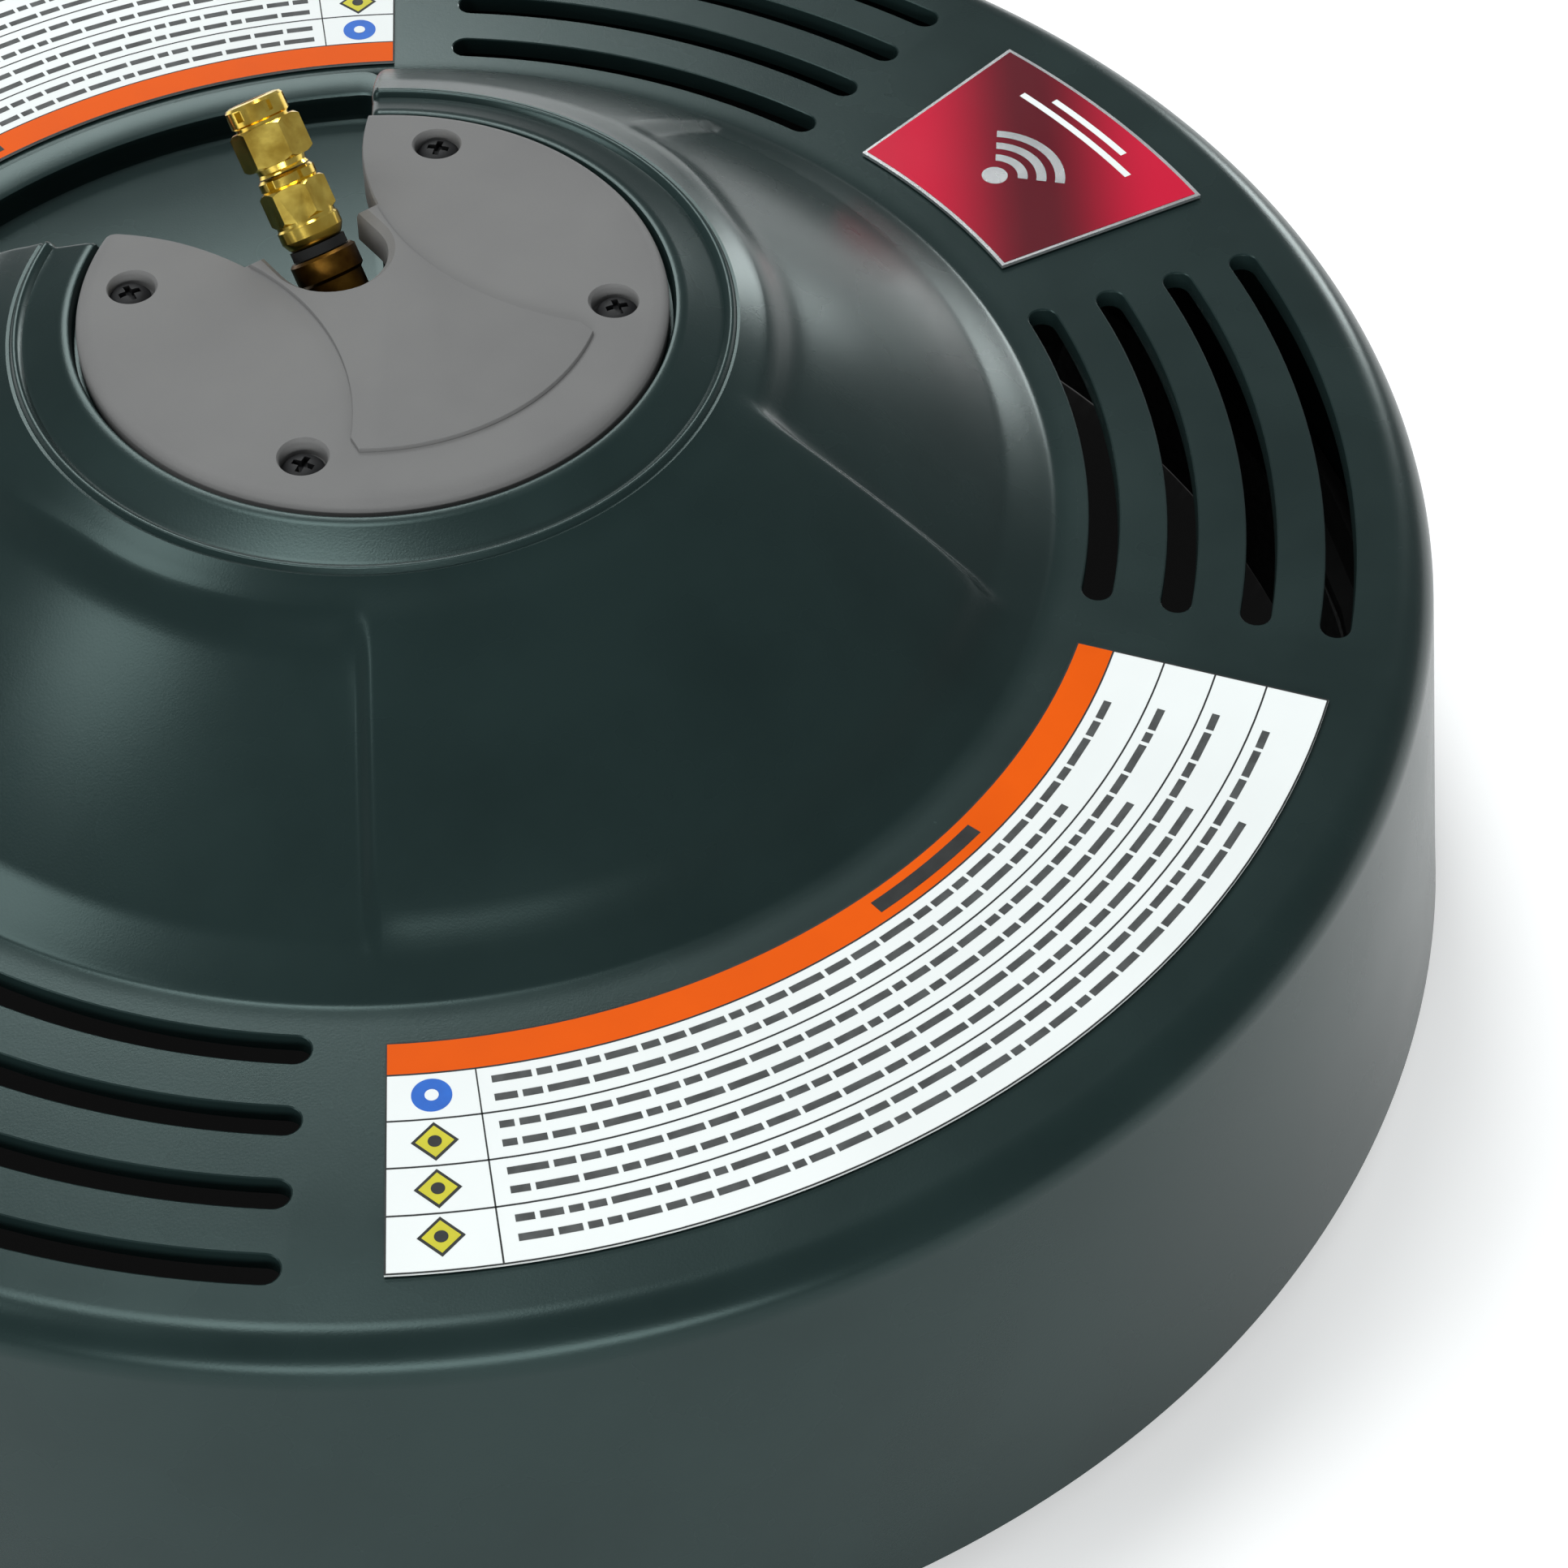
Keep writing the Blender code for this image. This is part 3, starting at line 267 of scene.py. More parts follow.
def darkenUnderShroud():
    # no light reaches the floor inside the brush skirt
    material = look["floorPaint"]
    nodes, links = material.node_tree.nodes, material.node_tree.links
    place = nodes.new("ShaderNodeTexCoord")
    length = nodes.new("ShaderNodeVectorMath")
    length.operation = "LENGTH"
    links.new(place.outputs["Object"], length.inputs[0])
    inside = nodes.new("ShaderNodeMapRange")
    inside.inputs["From Min"].default_value = studio["shadeFrom"]
    inside.inputs["From Max"].default_value = studio["shadeTo"]
    links.new(length.outputs["Value"], inside.inputs["Value"])
    mix = nodes.new("ShaderNodeMix")
    mix.data_type = "RGBA"
    mix.inputs["A"].default_value = studio["shadeColour"]
    links.new(inside.outputs["Result"], mix.inputs["Factor"])
    links.new(nodes["colours"].outputs["Color"], mix.inputs["B"])
    shader = nodes["Principled BSDF"]
    links.new(mix.outputs["Result"], shader.inputs["Base Color"])
    links.new(mix.outputs["Result"], shader.inputs["Emission Color"])
    shader.inputs["Emission Strength"].default_value = studio["floorGlow"]


shadeAcrossPlate()
darkenUnderShroud()


def makeFloor():
    body = bmesh.new()
    bmesh.ops.create_grid(body, x_segments=1, y_segments=1, size=studio["floorReach"])
    mesh = bpy.data.meshes.new("floor")
    body.to_mesh(mesh)
    body.free()
    mesh.materials.append(look["floorPaint"])
    floor = bpy.data.objects.new("floor", mesh)
    bpy.context.scene.collection.objects.link(floor)


makeFloor()


def addPiece(name, mesh, finishNames, body="root", stands=(), smooth=35):
    if len(finishNames) == 1:
        mesh.materials.clear()
    for finishName in finishNames:
        mesh.materials.append(look[finishName])
    mesh.shade_smooth()
    mesh.set_sharp_from_angle(angle=radians(smooth))
    piece = bpy.data.objects.new(name, mesh)
    bpy.context.scene.collection.objects.link(piece)
    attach(piece, body)
    if stands:
        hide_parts(*stands)
    return piece


def toMesh(name, body):
    mesh = bpy.data.meshes.new(name)
    body.to_mesh(mesh)
    body.free()
    return mesh


def smoothStep(value, low, high):
    t = min(1, max(0, (value - low) / (high - low)))
    return t * t * (3 - 2 * t)


def spun(profile, steps, closed=False):
    # profile: (radius, z) points; the shape is turned round the z axis
    body = bmesh.new()
    verts = [body.verts.new((r, 0, z)) for r, z in profile]
    edges = [body.edges.new(pair) for pair in zip(verts, verts[1:])]
    if closed:
        edges.append(body.edges.new((verts[-1], verts[0])))
    bmesh.ops.spin(body, geom=verts + edges, axis=(0, 0, 1), cent=(0, 0, 0), angle=2 * pi, steps=steps,
                   use_merge=True)
    bmesh.ops.remove_doubles(body, verts=body.verts, dist=sameSpot)
    bmesh.ops.recalc_face_normals(body, faces=body.faces)
    return body


def arcPoints(centre, radius, start, end, count):
    points = []
    for k in range(count + 1):
        a = radians(start + (end - start) * k / count)
        points.append((centre[0] + radius * cos(a), centre[1] + radius * sin(a)))
    return points


def steppedRange(start, end, step):
    count = max(1, round((end - start) / step))
    return [start + (end - start) * k / count for k in range(count)]


def grown(outline, distance):
    # a counterclockwise outline moved outwards
    points = []
    for before, here, after in zip(outline[-1:] + outline[:-1], outline, outline[1:] + outline[:1]):
        a = (Vector(here) - Vector(before)).normalized()
        b = (Vector(after) - Vector(here)).normalized()
        normal = Vector((a.y + b.y, -a.x - b.x)).normalized()
        reach = distance / max(0.6, sqrt((1 + a.dot(b)) / 2))
        points.append((here[0] + normal.x * reach, here[1] + normal.y * reach))
    return points


def heightAt(height, x, y):
    return height(x, y) if callable(height) else height


def prism(levels):
    # closed body through the levels, each a height and an outline; a height may be a function of x and y
    body = bmesh.new()
    height, outline = levels[0]
    top = body.faces.new([body.verts.new((x, y, heightAt(height, x, y))) for x, y in outline])
    corners = {vert: k for k, vert in enumerate(top.verts)}
    for number, (height, outline) in enumerate(levels[1:]):
        made = bmesh.ops.extrude_face_region(body, geom=[top])["geom"]
        if number:
            bmesh.ops.delete(body, geom=[top], context="FACES_ONLY")
        top = next(item for item in made if isinstance(item, bmesh.types.BMFace))
        raised = {}
        for vert in top.verts:
            linked = [edge.other_vert(vert) for edge in vert.link_edges]
            raised[vert] = next(corners[below] for below in linked if below in corners)
        for vert, k in raised.items():
            x, y = outline[k]
            vert.co = (x, y, heightAt(height, x, y))
        corners = raised
    bmesh.ops.recalc_face_normals(body, faces=body.faces)
    return body


def carve(mesh, operation, *bodies):
    # joins or cuts closed bodies and gives the mesh that results
    target = bpy.data.objects.new("carved", mesh)
    bpy.context.scene.collection.objects.link(target)
    helpers = []
    for body in bodies:
        helper = bpy.data.objects.new("helper", toMesh("helper", body))
        bpy.context.scene.collection.objects.link(helper)
        helpers.append(helper)
        step = target.modifiers.new("step", "BOOLEAN")
        step.operation = operation
        step.solver = "MANIFOLD"
        step.object = helper
    graph = bpy.context.evaluated_depsgraph_get()
    result = bpy.data.meshes.new_from_object(target.evaluated_get(graph))
    for obj in helpers + [target]:
        bpy.data.objects.remove(obj, do_unlink=True)
    return result


def carved(body, operation, *bodies):
    result = bmesh.new()
    result.from_mesh(carve(toMesh("body", body), operation, *bodies))
    return result


print("shroud dome")

dome = {"base": 118 * mm, "ring": 61 * mm, "bulge": 1.6 * mm, "seam": 122 * mm, "wall": 3.6 * mm,
        "land": ringTop - 1.5 * mm, "landEdge": 50.8 * mm, "well": 46.5 * mm, "floor": deckTop - 6 * mm,
        "hole": 19.4 * mm, "raise": 0.9 * mm, "raiseStart": (62 * mm, 70 * mm),
        "raiseEnd": (110 * mm, 118 * mm),
        "sink": 3.0 * mm, "sinkEnd": (108 * mm, 119 * mm), "slope": 61.9 * mm, "arc": 66.9 * mm,
        "arcGrowth": 5.0 * mm, "arcTurns": (78, 107), "growthStart": 66 * mm,
        "growthEnd": (71.5 * mm, 86 * mm),
        "line": 35.2, "far": 107.5, "farGrowth": 0.12, "farStart": 73 * mm, "farReach": (3, 22),
        "front": 106.8 * mm, "foot": 118.5 * mm, "wallWidth": 2.1 * mm, "arcWidth": 4.5 * mm,
        "frontWidth": 5.5 * mm, "corner": 1.6, "soft": 0.5 * mm, "edge": 1.6 * mm}
channel = {"start": 40 * mm, "half": 33.5, "end": 112 * mm, "corner": 5 * mm, "cornerSteps": 6,
           "foot": 119.2 * mm,
           "spans": 30, "floorEdge": 1.6 * mm}
# the ring's lip, slope and bead, in mm: radius, and height over the ring's top
ringOutline = [(51.1, 1.4), (51.4, 1.9), (52.0, 2.05), (53.5, 1.6), (58.8, -0.7), (59.5, -0.85),
               (60.0, -0.35),
               (60.45, -0.08), (60.8, 0), (61.15, -0.1), (61.4, -0.45), (61.7, -0.85)]
# columns on each side, in degrees from the front: (start, end, step)
domeColumns = [(0, 34.6, 1.2), (34.6, 37.0, 0.12), (37.0, 105.8, 1.2), (105.8, 108, 0.12), (108, 144, 1.2),
               (144, 147, 0.25), (147, 180, 1.2)]


def domeTurns():
    turns = []
    for start, end, step in domeColumns:
        turns += steppedRange(start, end, step)
    return turns + [180]


def domeRows():
    rows = steppedRange(62.2, 66.6, 1.0) + steppedRange(66.6, 69, 0.15) + steppedRange(69, 106.4, 1.5)
    rows += steppedRange(106.4, 111, 0.3) + steppedRange(111, 117, 1.0) + steppedRange(117, 119, 0.3)
    return [r * mm for r in rows + steppedRange(119, 122, 1.0) + [122]]


def domeProfile():
    land, well, floor = dome["land"], dome["well"], dome["floor"]
    points = [(dome["hole"], floor), (30 * mm, floor), (well - 2 * mm, floor)]
    points += arcPoints((well - 2 * mm, floor + 2 * mm), 2 * mm, -90, 0, 4)[1:]
    points += [(well, floor + 15 * mm), (well, floor + 30 * mm)]
    points += arcPoints((well + 0.8 * mm, land - 0.8 * mm), 0.8 * mm, 180, 90, 3)
    points += [(dome["landEdge"], land), (dome["landEdge"] + 0.2 * mm, land + 0.3 * mm)]
    points += [(r * mm, ringTop + z * mm) for r, z in ringOutline]
    return points + [(r, deckTop) for r in domeRows()]


def highSurface(r):
    share = (r - dome["ring"]) / (dome["base"] - dome["ring"])
    cone = (ringTop - deckTop) * (1 - share) + dome["bulge"] * sin(pi * max(0, min(1, share)))
    return cone + dome["raise"] * smoothStep(r, *dome["raiseStart"]) * (1 - smoothStep(r, *dome["raiseEnd"]))


def softMin(a, b, size):
    near = max(size - abs(a - b), 0) / size
    return min(a, b) - near * near * size / 4


def rampShare(t):
    # a slope from 0 to 1 with a tight convex top and a wider concave foot
    top = (t + sqrt(t * t + 0.09)) / 2
    foot = 1 - top
    return 1 - (foot + sqrt(foot * foot + 0.08)) / 2


def sunkenShare(rowRadius, turn, r):
    # 0 on the ring's surround, the front panel and the rear shoulders, 1 down in the side panels
    perDegree = r * pi / 180
    width = dome["wallWidth"]
    beyondLine = (turn - dome["line"]) * perDegree / width
    beyondFront = (rowRadius - dome["front"]) / dome["frontWidth"]
    offPanel = -softMin(-beyondLine, -beyondFront, dome["corner"])
    inside = softMin((rowRadius - dome["arc"]) / dome["arcWidth"], offPanel, dome["corner"])
    inside = softMin(inside, (dome["far"] - turn) * perDegree / width, dome["corner"])
    return max(0, min(1, (rampShare(inside) - rampShare(-1)) / (rampShare(3) - rampShare(-1))))


def shapeDome(body):
    turns = domeTurns()
    for vert in body.verts:
        rowRadius = hypot(vert.co.x, vert.co.y)
        side = 1 if vert.co.x >= 0 else -1
        cell = round(degrees(atan2(abs(vert.co.x), -vert.co.y)) / 180 * (len(turns) - 1))
        turn = turns[cell]
        window = smoothStep(rowRadius, dome["slope"], dome["growthStart"])
        window *= 1 - smoothStep(rowRadius, *dome["growthEnd"])
        r = rowRadius + dome["arcGrowth"] * smoothStep(turn, *dome["arcTurns"]) * window
        reach = 1 - smoothStep(abs(turn - dome["far"]), *dome["farReach"])
        turned = turn + dome["farGrowth"] * max(0, (r - dome["farStart"]) / mm) * reach
        z = vert.co.z
        if rowRadius > dome["slope"]:
            sink = dome["sink"] * (1 - smoothStep(r, *dome["sinkEnd"]))
            shaped = highSurface(r) - sink * sunkenShare(rowRadius, turn, r)
            shaped = (shaped + sqrt(shaped * shaped + dome["soft"] ** 2)) / 2
            z = deckTop + shaped * (1 - smoothStep(r, dome["foot"], dome["seam"] - 0.5 * mm))
        away = (180 - channel["half"] - turn) * r * pi / 180
        if -0.5 * mm < away < dome["edge"] and r > dome["well"] + 0.3 * mm:
            away = max(0, away)
            drop = dome["edge"] - sqrt(dome["edge"] ** 2 - (dome["edge"] - away) ** 2)
            z -= drop * smoothStep(z - deckTop, 0, 4 * mm)
        vert.co = (side * r * sin(radians(turned)), -r * cos(radians(turned)), z)


def channelOutline(inner, reach, half, inset=0.0):
    # plan of the lance channel, narrow end in the well, corners rounded at the far end
    corner, steps, spans = channel["corner"], channel["cornerSteps"], channel["spans"]
    pull = degrees(corner / reach)
    trim = degrees(inset / reach)
    start, end = 90 - half + trim, 90 + half - trim
    reach -= inset
    outline = [(inner, start), (reach - corner, start)]
    for k in range(1, steps):
        t = k / steps
        outline.append((reach - corner * (1 - t) ** 2, start + pull * t * t))
    outline += [(reach, start + pull + (end - start - 2 * pull) * k / spans) for k in range(spans + 1)]
    for k in range(steps - 1, 0, -1):
        t = k / steps
        outline.append((reach - corner * (1 - t) ** 2, end - pull * t * t))
    outline += [(reach - corner, end), (inner, end)]
    return [(r * cos(radians(a)), r * sin(radians(a))) for r, a in outline]


def makeDome():
    body = spun(domeProfile(), 2 * (len(domeTurns()) - 1))
    if sum(face.normal.z for face in body.faces) < 0:
        bmesh.ops.reverse_faces(body, faces=body.faces)
    shapeDome(body)
    skin = bpy.data.objects.new("domeSkin", toMesh("domeSkin", body))
    bpy.context.scene.collection.objects.link(skin)
    wall = skin.modifiers.new("wall", "SOLIDIFY")
    wall.thickness = dome["wall"]
    wall.offset = -1
    mesh = bpy.data.meshes.new_from_object(skin.evaluated_get(bpy.context.evaluated_depsgraph_get()))
    bpy.data.objects.remove(skin, do_unlink=True)

    # a block for the channel's walls and floor, kept under the dome's skin
    wide = channel["half"] + degrees(dome["wall"] / (85 * mm))
    outline = channelOutline(dome["well"] + dome["wall"] / 2, channel["end"] + dome["wall"], wide)
    inside = [(0, dome["land"] - 1.5 * mm), (59 * mm, dome["land"] - 1.5 * mm)]
    inside += [(r, deckTop + highSurface(r) - 3.4 * mm) for r in steppedRange(61 * mm, 114 * mm, 6 * mm)]
    inside += [(118 * mm, deckTop - 2 * mm), (126 * mm, deckTop - 2 * mm), (126 * mm, deckTop - 20 * mm),
               (0, deckTop - 20 * mm)]
    block = carved(prism([(dome["floor"] - dome["wall"], outline), (ringTop, outline)]), "INTERSECT",
                   spun(inside, 120))
    mesh = carve(mesh, "UNION", block)
    # the floor's corner is rounded, and above the deck the cut runs on to the foot of the dome
    floor, end, foot = dome["floor"], channel["end"], channel["foot"]
    levels = []
    for z, inset, reach in ((floor, channel["floorEdge"], end), (floor + 0.5 * mm, 0.5 * mm, end),
                            (floor + channel["floorEdge"], 0, end), (deckTop - 1.4 * mm, 0, end),
                            (deckTop - 0.4 * mm, 0, end + 0.4 * mm), (deckTop + 0.02 * mm, 0, end + 1.4 * mm),
                            (deckTop + 0.05 * mm, 0, foot), (ringTop + 10 * mm, 0, foot)):
        levels.append((z, channelOutline(channel["start"], reach, channel["half"], inset)))
    mesh = carve(mesh, "DIFFERENCE", prism(levels))
    addPiece("shroudDome", mesh, ["shellPlastic"], stands=["shroud"], smooth=32)


makeDome()

print("shroud deck and wall")

deck = {"fillet": 8 * mm, "draft": 7.5, "wall": 3.6 * mm, "steps": 360, "slots": 4, "slotFirst": 126.7 * mm,
        "slotPitch": 13.87 * mm, "slotWidth": 5.25 * mm, "slotStart": 15.5, "slotEnd": 50.2,
        "slotLip": 0.5 * mm}


def slotOutline(middle, start, end):
    # round-ended slot along an arc; start and end in degrees are where the end caps' centres lie
    half = deck["slotWidth"] / 2
    a, b = radians(start), radians(end)
    outline = arcPoints((0, 0), middle + half, start, end, 20)
    outline += arcPoints((middle * cos(b), middle * sin(b)), half, end, end + 180, 10)[1:-1]
    outline += arcPoints((0, 0), middle - half, end, start, 20)
    outline += arcPoints((middle * cos(a), middle * sin(a)), half, start + 180, start + 360, 10)[1:-1]
    return outline


def slotCutters():
    bodies = []
    lip = deck["slotLip"]
    for side in (0, 180):
        for sign in (-1, 1):
            for k in range(deck["slots"]):
                middle = deck["slotFirst"] + k * deck["slotPitch"]
                inset = degrees(deck["slotWidth"] / 2 / middle)
                start, end = sorted((side + sign * deck["slotStart"], side + sign * deck["slotEnd"]))
                outline = slotOutline(middle, start + inset, end - inset)
                bodies.append(prism([(deckTop - 12 * mm, outline), (deckTop - 0.9 * lip, outline),
                                     (deckTop - 0.3 * lip, grown(outline, 0.25 * lip)),
                                     (deckTop + 0.2 * lip, grown(outline, lip)),
                                     (deckTop + 4 * mm, grown(outline, lip))]))
    return bodies


def makeDeck():
    draft = radians(deck["draft"])
    fillet = deck["fillet"]
    centreZ = deckTop - fillet
    wallRadius = rimRadius - (centreZ + fillet * sin(draft) - rimBottom) * sin(draft) / cos(draft)
    centreR = wallRadius - fillet * cos(draft)
    outside = [(dome["seam"], deckTop), (150 * mm, deckTop)]
    outside += arcPoints((centreR, centreZ), fillet, 90, deck["draft"], 12)
    tip = rimRadius - 0.6 * mm
    outside += [(rimRadius - 1.6 * mm, rimBottom + 12 * mm), (rimRadius - 0.05 * mm, rimBottom + 0.8 * mm)]
    outside += [(tip + 0.2 * mm, rimBottom + 0.15 * mm), (tip - 0.3 * mm, rimBottom)]
    t = deck["wall"]
    inner = [(tip - t, rimBottom), (tip - t - 0.4 * mm, rimBottom + 0.5 * mm),
             (wallRadius - t, centreZ + fillet * sin(draft))]
    inner += arcPoints((centreR, centreZ), fillet - t, deck["draft"], 90, 6)[1:]
    inner += [(150 * mm, deckTop - t), (dome["seam"], deckTop - t)]
    body = spun(outside + inner, deck["steps"], closed=True)
    mesh = carve(toMesh("deckBody", body), "DIFFERENCE", *slotCutters())
    addPiece("shroudDeck", mesh, ["shellPlastic"], stands=["shroud"], smooth=32)


makeDeck()

print("hub cover")

cover = {"panel": 39.0 * mm, "lobe": 50.3 * mm, "lobeX": 61.5 * mm, "lobeY": 4.6 * mm, "notchY": 19 * mm,
         "slot": 9.5 * mm, "slotY": 12.5 * mm, "rise": 0.8 * mm, "screwCircle": 41.0 * mm, "screwTurn": 50,
         "counterbore": 4.0 * mm, "seat": 2.2 * mm, "hole": 2.2 * mm, "steps": 240,
         "crown": 1.0 * mm, "edge": 3 * mm, "notchTop": 46 * mm, "clearOf": (40 * mm, 60 * mm)}
# the cover's rounded edge, in mm: inwards from the rim, and down from where the crown ends
edgeOutline = [(3, 0), (2.2, 0.15), (1.4, 0.45), (0.75, 0.95), (0.25, 1.6), (0, 2.4)]
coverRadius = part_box("hub_cover")[1].x - 0.8 * mm
lobeTop = coverTop - cover["rise"]


def coverCrown(r):
    return -cover["crown"] * (r / coverRadius) ** 3


def coverProfile():
    low, rim = coverBottom, coverRadius
    edgeStart = rim - cover["edge"]
    edgeZ = lobeTop + coverCrown(edgeStart)
    points = [(r, lobeTop + coverCrown(r)) for r in steppedRange(0, edgeStart, 4 * mm)]
    points += [(rim - inward * mm, edgeZ - down * mm) for inward, down in edgeOutline]
    points += [(rim, low + 0.4 * mm), (rim - 0.4 * mm, low), (0, low)]
    return points


def lobeEdge(y):
    # how far from the middle the right lobe's edge lies at a height y on the plan
    return cover["lobeX"] - sqrt(cover["lobe"] ** 2 - (y - cover["lobeY"]) ** 2)


def notchOutline():
    top = cover["notchTop"]
    x, y = cover["clearOf"]
    right = [(lobeEdge(y), y) for y in steppedRange(cover["notchY"], top, 2 * mm)] + [(lobeEdge(top), top)]
    outline = [(cover["slot"], cover["notchY"])] + right + [(x, y), (-x, y)]
    outline += [(-x, y) for x, y in reversed(right)] + [(-cover["slot"], cover["notchY"])]
    outline += arcPoints((0, cover["slotY"]), cover["slot"], 180, 360, 24)
    return outline


def panelOutline():
    # the raised middle between the lobes, from inside the notch down to the front arc
    far = hypot(cover["lobeX"], cover["lobeY"])
    share = (cover["panel"] ** 2 - cover["lobe"] ** 2 + far ** 2) / (2 * far)
    across = sqrt(cover["panel"] ** 2 - share ** 2)
    tilt = atan2(cover["lobeY"], cover["lobeX"])
    cornerY = share * sin(tilt) - across * cos(tilt)
    top = cover["notchY"] + 6 * mm
    start = cornerY + 2 * mm
    right = [(lobeEdge(y), y) for y in steppedRange(start, top, 1.5 * mm)] + [(lobeEdge(top), top)]
    half = degrees(atan2(lobeEdge(cornerY), -cornerY)) - 2.5
    front = arcPoints((0, 0), cover["panel"], -90 - half, -90 + half, 30)
    return right + [(-x, y) for x, y in reversed(right)] + front


def onCrown(drop):
    # the height of the middle panel's crown over the plan, less a drop
    return lambda x, y: coverTop + coverCrown(hypot(x, y)) - drop


def screwPlaces():
    places = []
    for side in (90, -90):
        for sign in (-1, 1):
            a = radians(side + sign * cover["screwTurn"])
            places.append((cover["screwCircle"] * cos(a), cover["screwCircle"] * sin(a)))
    return places


def makeCover():
    low = coverBottom
    seat = low + cover["seat"]
    notch, panel = notchOutline(), panelOutline()
    raised = prism([(low + 2 * mm, panel), (onCrown(0.28 * mm), panel),
                    (onCrown(0.09 * mm), grown(panel, -0.09 * mm)),
                    (onCrown(0.0), grown(panel, -0.3 * mm))])
    top = lobeTop + 0.3 * mm
    cutters = [prism([(low - 5 * mm, notch), (top - 1.6 * mm, notch),
                      (top - 0.7 * mm, grown(notch, 0.25 * mm)),
                      (top - 0.1 * mm, grown(notch, 0.9 * mm)), (top + 0.6 * mm, grown(notch, 1.6 * mm)),
                      (coverTop + 5 * mm, grown(notch, 1.6 * mm))])]
    top = lobeTop + coverCrown(cover["screwCircle"])
    bore = cover["counterbore"]
    for x, y in screwPlaces():
        well = spun([(0, coverTop + 3 * mm), (bore + 1.2 * mm, coverTop + 3 * mm),
                     (bore + 0.5 * mm, top + 0.15 * mm), (bore + 0.12 * mm, top - 0.35 * mm),
                     (bore, top - 0.8 * mm), (bore - 0.15 * mm, seat + 0.4 * mm), (bore - 0.5 * mm, seat),
                     (cover["hole"], seat), (cover["hole"], low - 2 * mm), (0, low - 2 * mm)], 48)
        bmesh.ops.translate(well, vec=(x, y, 0), verts=well.verts)
        cutters.append(well)
    body = carved(spun(coverProfile(), cover["steps"]), "UNION", raised)
    mesh = carve(toMesh("coverBody", body), "DIFFERENCE", *cutters)
    addPiece("coverPlate", mesh, ["coverPlastic"], stands=["hub_cover"], smooth=30)


makeCover()

print("cover screws")

coverScrew = {"head": 3.6 * mm, "height": 2.0 * mm, "recess": 0.55 * mm, "recessLength": 1.9 * mm,
              "recessDepth": 1.4 * mm, "shank": 1.9 * mm, "turn": 0.7}


def boxBody(low, high):
    body = bmesh.new()
    bmesh.ops.create_cube(body, size=1)
    for vert in body.verts:
        vert.co = [a + (c + 0.5) * (b - a) for a, b, c in zip(low, high, vert.co)]
    return body


def makeCoverScrews():
    for number in range(1, 5):
        node = f"cover_screw_{number}"
        low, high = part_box(node)
        top, head, shank = high.z, coverScrew["head"], coverScrew["shank"]
        seat = top - coverScrew["height"]
        body = spun([(0, top), (head * 0.45, top - 0.1 * mm), (head * 0.8, top - 0.5 * mm),
                     (head, top - 1.3 * mm),
                     (head, seat + 0.2 * mm), (head - 0.2 * mm, seat), (shank, seat),
                     (shank, low.z + 0.8 * mm), (shank - 0.8 * mm, low.z), (0, low.z)], 32)
        half, length = coverScrew["recess"], coverScrew["recessLength"]
        depth = top - coverScrew["recessDepth"]
        body = carved(body, "DIFFERENCE", boxBody((-half, -length, depth), (half, length, top + 1 * mm)),
                      boxBody((-length, -half, depth), (length, half, top + 1 * mm)))
        turn = Matrix.Rotation(coverScrew["turn"] * number, 3, "Z")
        bmesh.ops.rotate(body, cent=(0, 0, 0), matrix=turn, verts=body.verts)
        bmesh.ops.translate(body, vec=((low.x + high.x) / 2, (low.y + high.y) / 2, 0), verts=body.verts)
        # heads in painted shade, dark as the counterbores they sit in
        addPiece(f"coverScrew{number}", toMesh(node, body), ["steelInPaintedShade"], stands=[node])


makeCoverScrews()

print("inlet fitting")

# lengths run down the fitting's axis from its tip
fitting = {"bore": 2.6 * mm, "steps": 72, "tip": 5.3 * mm, "tipEnd": 4.4 * mm, "hex": 6.4 * mm,
           "hexEnd": 11.4 * mm,
           "neck": 4.6 * mm, "neckEnd": 13.0 * mm, "collar": 5.1 * mm, "collarEnd": 15.6 * mm,
           "hexTwo": 6.0 * mm,
           "hexTwoEnd": 21.7 * mm, "round": 5.6 * mm, "roundEnd": 26.2 * mm, "notches": 6, "notch": 1.5 * mm,
           "branch": 6.0 * mm, "branchStart": 28.3 * mm, "knee": 53.0 * mm, "kneeBall": 7.6 * mm,
           "leg": 7.0 * mm,
           "washer": 5.0 * mm}
inletMount = next(row for row in frame["record"]["mounts"] if row["name"] == "inlet_face")
inletAxis = Vector(inletMount["axis"])
inletTip = Vector((0, inletMount["pos_m"][1], inletMount["pos_m"][2]))


def alongInlet(body):
    # from the z axis, tip at z = 0 pointing up, to the fitting's place
    turn = Vector((0, 0, 1)).rotation_difference(inletAxis).to_matrix().to_4x4()
    bmesh.ops.transform(body, matrix=Matrix.Translation(inletTip) @ turn, verts=body.verts)
    return body


def hexBody(corner, high, low):
    # hexagon with the turned chamfers of a nut
    body = bmesh.new()
    bmesh.ops.create_cone(body, cap_ends=True, segments=6, radius1=corner, radius2=corner, depth=high - low)
    bmesh.ops.translate(body, vec=(0, 0, (high + low) / 2), verts=body.verts)
    flat = corner * 0.88
    return carved(body, "INTERSECT", spun([(0, high), (flat, high), (corner * 1.04, high - 0.8 * mm),
                                           (corner * 1.04, low + 0.8 * mm), (flat, low), (0, low)], 72))


def boredNut(corner, high, low):
    bore = fitting["bore"]
    return carved(hexBody(corner, high, low), "DIFFERENCE",
                  spun([(0, 1 * mm), (bore, 1 * mm), (bore, -30 * mm), (0, -30 * mm)], fitting["steps"]))


